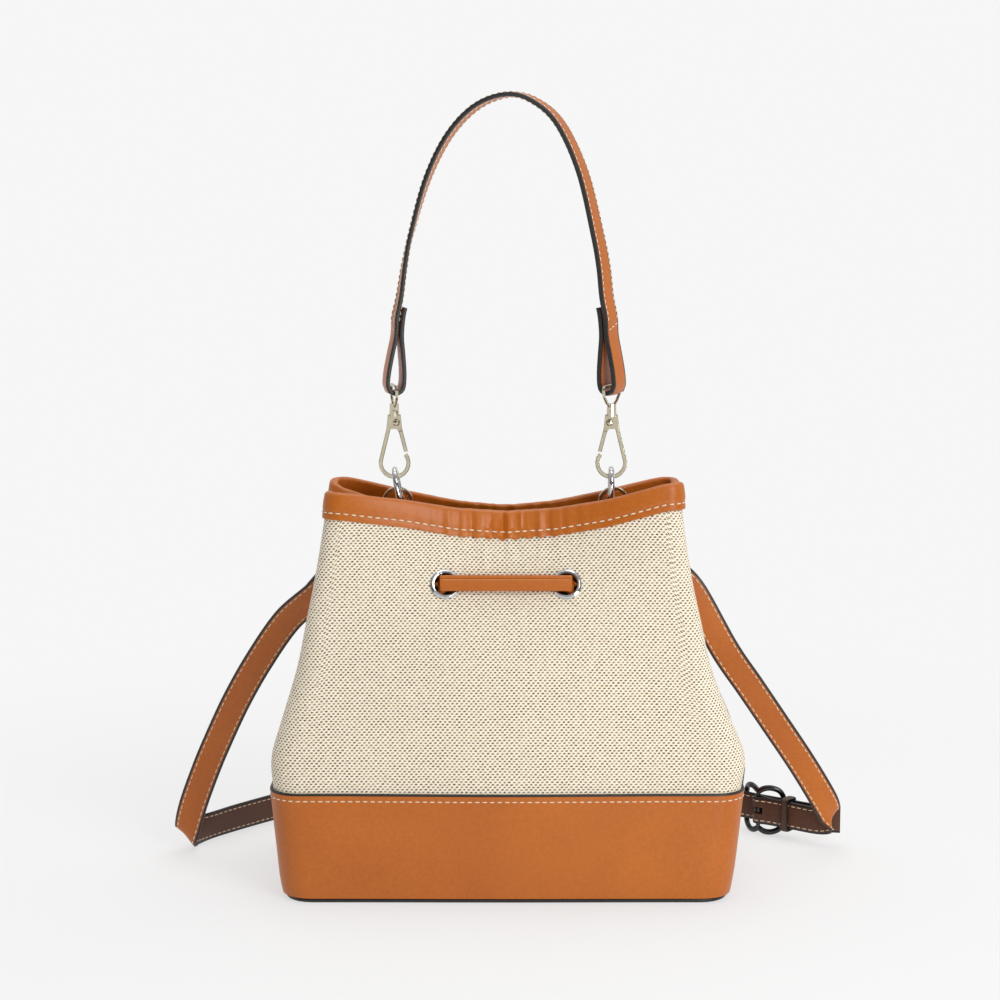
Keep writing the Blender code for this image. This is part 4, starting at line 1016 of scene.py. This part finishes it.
def make_drawstring():
    """One flat rolled cord: out at the back, through the bag, across the front and back again."""
    turn = ((-2.4, STRING_OUT), (0.4, 2.9), (2.0, 1.2), (2.3, -1.5), (2.3, -7))
    points = []
    for side, face in (("right", "back"), ("right", "front"), ("left", "front"), ("left", "back")):
        inwards = 1 if side == "right" else -1
        spot, sideways, up, normal = wall_frame(side, face)
        run = [[*(spot + sideways * along * inwards + normal * out), *up] for along, out in turn]
        points += reversed(run) if (side == "right") == (face == "front") else run
    spot, _, up, normal = wall_frame("right", "back")
    centre = (spot + normal * STRING_OUT) * (0, 1, 1)
    route = [[0.3, *centre[1:], *up], [20, *centre[1:], *up], *points]
    route += [[-20, *centre[1:], *up], [-0.3, *centre[1:], *up]]
    path = smooth_path(route, 1.6)
    string = sweep("drawstring_cord", path[:, :3], path[:, 3:], *string_section())
    add_piece(string, [TAN, RAW], ["drawstring"])

    half_wide = STRING_WIDTH / 2 + SLEEVE_GAP + SLEEVE_WALL / 2
    half_thick = STRING_THICKNESS / 2 + SLEEVE_GAP + SLEEVE_WALL / 2
    path = [centre + up * a + normal * b for a, b in loop_path(half_wide, half_thick, 1.4)]
    section = strap_section(SLEEVE_LENGTH, SLEEVE_WALL, 0.06)
    sleeve = sweep("drawstring_sleeve_leather", path, X_AXIS, *section, closed=True)
    add_piece(sleeve, [TAN, BLACK, BROWN], ["drawstring_sleeve"])
    rows = []
    for reach in (-SLEEVE_LENGTH / 2 + 2.2, SLEEVE_LENGTH / 2 - 2.2):
        face = centre + normal * (half_thick + SLEEVE_WALL / 2) + X_AXIS * reach
        rows.append([[*(face + up * a), *normal] for a in (-3.6, -1.2, 1.2, 3.6)])
    add_piece(stitch_mesh("drawstring_sleeve_stitches", rows, 2.4, 1.7, 0.6, 0.1), [THREAD])


# Metal


def make_rings():
    """Rings with a straight bottom bar, two small corners and a round top."""

    def arc(y, z, radius, *angles):
        return [(y + radius * math.cos(a), z + radius * math.sin(a)) for a in np.radians(range(*angles))]

    inset = RING_HALF_WIDTH - RING_CORNER
    path = arc(inset, RING_CORNER, RING_CORNER, -90, 1, 15)
    path += arc(0, RING_HEIGHT - RING_HALF_WIDTH, RING_HALF_WIDTH, 0, 181, 7)
    path += arc(-inset, RING_CORNER, RING_CORNER, 180, 271, 15)
    path += [(-2.5, 0), (0, 0), (2.5, 0)]
    for side, lean in RING_LEAN.items():
        up = np.array([math.sin(lean), 0, math.cos(lean)])
        bar = np.array([RING_X[side], 0, RING_BAR_Z])
        points = [bar + Y_AXIS * y + up * z for y, z in path]
        across = (math.cos(lean), 0, -math.sin(lean))
        mesh = sweep(f"ring_{side}_wire", points, across, round_section(RING_WIRE), closed=True)
        add_piece(mesh, [CHROME], [f"ring_{side}"], f"ring_{side}")


def rounded_loop(points, rounds=3):
    """A closed line with its corners cut again and again, which makes it smooth."""
    points = np.asarray(points, float)
    for _ in range(rounds):
        after = np.roll(points, -1, 0)
        points = np.stack([0.75 * points + 0.25 * after, 0.25 * points + 0.75 * after], 1).reshape(-1, 3)
    return points


def make_buckle():
    quarter = ((0, 12.0), (3.5, 14.5), (8, 15.0), (12.6, 12.7), (BUCKLE_REACH, 6.7))
    around = [*quarter, (14.9, 0), *[(s, -z) for s, z in reversed(quarter)]]
    around += [(-s, z) for s, z in reversed(around[1:-1])]
    path = rounded_loop([at_buckle(s, -BUCKLE_BOW * (abs(s) / BUCKLE_REACH) ** 1.6, z) for s, z in around])
    rail = [(a * 1.5, b * 1.9) for a, b in round_section(1, 20)]
    mesh = sweep("buckle_rail", path, BUCKLE_TOWARD, rail, closed=True)
    add_piece(mesh, [GUNMETAL], ["buckle_frame"])
    ends = [at_buckle(0, 0, z) for z in (-BUCKLE_BAR, 0, BUCKLE_BAR)]
    add_piece(sweep("buckle_bar", ends, BUCKLE_ALONG, round_section(1.4)), [GUNMETAL])


def soften_metal():
    """Small rounded edges and smooth faces on the metal pieces that keep their CAD shape."""
    redrawn = ("ring_left", "ring_right", "buckle_frame")
    for entry in frame["record"]["subparts"]:
        if entry["material_slot"] not in ("chrome", "pale_gold", "gunmetal") or entry["node"] in redrawn:
            continue
        item = frame["nodes"][entry["node"]]
        weld = item.modifiers.new("weld", "WELD")
        weld.merge_threshold = 0.00001
        bevel = item.modifiers.new("soft edges", "BEVEL")
        bevel.width = METAL_EDGE * MM
        bevel.segments = 2
        bevel.limit_method = "ANGLE"
        bevel.angle_limit = math.radians(32)
        bevel.harden_normals = True


def main():
    make_bottom()
    make_body()
    make_side_seams()
    make_rim()
    make_body_stitches()
    make_handle()
    make_long_strap()
    make_keeper()
    make_tabs()
    make_drawstring()
    make_rings()
    make_buckle()
    soften_metal()


def paint_frame():
    looks = {
        "chrome": CHROME,
        "pale_gold": GOLD,
        "gunmetal": GUNMETAL,
        "edge_paint": BLACK,
        "leather_inside": BROWN,
        "leather_tan": TAN,
        "board": BROWN,
    }
    for entry in frame["record"]["subparts"]:
        item = frame["nodes"][entry["node"]]
        look = looks.get(entry["material_slot"])
        if look is None:
            continue
        for slot in item.material_slots:
            slot.material = look


# Studio

PAPER = (0.925, 0.925, 0.925)
FLOOR_REACH = 14
FLOOR_SHARE = 0.28
FLOOR_GLOW = 0.6
# Brightness of the surroundings, from straight down (0) to straight up (1) and from front (0) to back (1)
ROOM_BY_HEIGHT = ((0.0, 0.2), (0.5, 0.1), (0.62, 0.16), (0.8, 0.4), (1.0, 0.6))
ROOM_BY_DEPTH = ((0.0, 0.0), (0.42, 0.0), (0.6, 0.45), (1.0, 0.55))
# Each lamp: place, what it points at, width, height (m) and power (W)
LAMPS = (
    ("key", (1.15, -1.75, 1.5), (0, 0, 0.2), 1.2, 1.0, 25.5),
    ("strip", (0.55, -1.0, 0.15), (0.11, 0, 0.03), 0.22, 0.25, 3.0),
    ("top", (0.1, 0.3, 1.9), (0, 0, 0.2), 1.2, 1.2, 9),
)


def make_camera():
    camera = bpy.data.cameras.new("camera")
    camera.lens = 89.5
    camera.sensor_width = 36
    camera.shift_x = -0.006
    camera.clip_end = 60
    viewer = bpy.data.objects.new("camera", camera)
    viewer.location = (0, -1.5, 0.45)
    viewer.rotation_euler = (math.radians(90 - 8.26), 0, 0)
    bpy.context.scene.collection.objects.link(viewer)
    bpy.context.scene.camera = viewer
    bpy.context.scene.view_settings.view_transform = "Standard"


def make_floor():
    """A white floor that fades into the plain paper away from the bag."""
    corners = [(x * FLOOR_REACH, y * FLOOR_REACH, 0) for x, y in ((-1, -1), (1, -1), (1, 1), (-1, 1))]
    mesh = bpy.data.meshes.new("floor")
    mesh.from_pydata(corners, [], [(0, 1, 2, 3)])
    floor = bpy.data.objects.new("floor", mesh)
    floor.location.z = -0.0002
    bpy.context.scene.collection.objects.link(floor)
    n = Nodes("floor_white")
    n.set(Base_Color=(FLOOR_SHARE,) * 3, Roughness=0.9, Specular_IOR_Level=0.1)
    n.set(Emission_Color=(1.0, 1.0, 1.0), Emission_Strength=FLOOR_GLOW)
    paper = n.add("ShaderNodeEmission", {"Color": PAPER})
    distance = n.add("ShaderNodeVectorMath", {0: n.place()}, operation="LENGTH").outputs["Value"]
    reach = {"Value": distance, "From Min": 0.22, "From Max": 0.75}
    fade = n.add("ShaderNodeMapRange", reach, interpolation_type="SMOOTHSTEP").outputs[0]
    n.finish(fade, n.tree.nodes["Principled BSDF"], paper, "Material Output")
    mesh.materials.append(n.look)


def make_room():
    """Surroundings that are brighter above and behind. The camera sees plain paper instead."""
    bpy.context.scene.world = bpy.data.worlds.new("studio")
    n = Nodes("studio", bpy.context.scene.world)
    direction = n.add("ShaderNodeSeparateXYZ", {0: n.add("ShaderNodeTexCoord").outputs["Generated"]})

    def grey(source, stops):
        share = n.add("ShaderNodeMapRange", {"Value": source, "From Min": -1}).outputs[0]
        return n.ramp(share, [(position, (value,) * 3) for position, value in stops])

    rising = grey(direction.outputs[2], ROOM_BY_HEIGHT)
    behind = grey(direction.outputs[1], ROOM_BY_DEPTH)
    room = n.tree.nodes["Background"]
    n.feed(room, {"Color": n.mix(1.0, rising, behind, "ADD")})
    paper = n.add("ShaderNodeBackground", {"Color": PAPER})
    n.finish(n.add("ShaderNodeLightPath").outputs["Is Camera Ray"], room, paper, "World Output")


def make_lamps():
    for name, place, aim, wide, tall, power in LAMPS:
        light = bpy.data.lights.new(name, "AREA")
        light.shape = "RECTANGLE"
        light.size = wide
        light.size_y = tall
        light.energy = power
        lamp = bpy.data.objects.new(name, light)
        lamp.location = place
        lamp.rotation_euler = (Vector(aim) - Vector(place)).to_track_quat("-Z", "Y").to_euler()
        lamp.visible_camera = False
        bpy.context.scene.collection.objects.link(lamp)


make_camera()
make_floor()
make_room()
make_lamps()
paint_frame()
main()
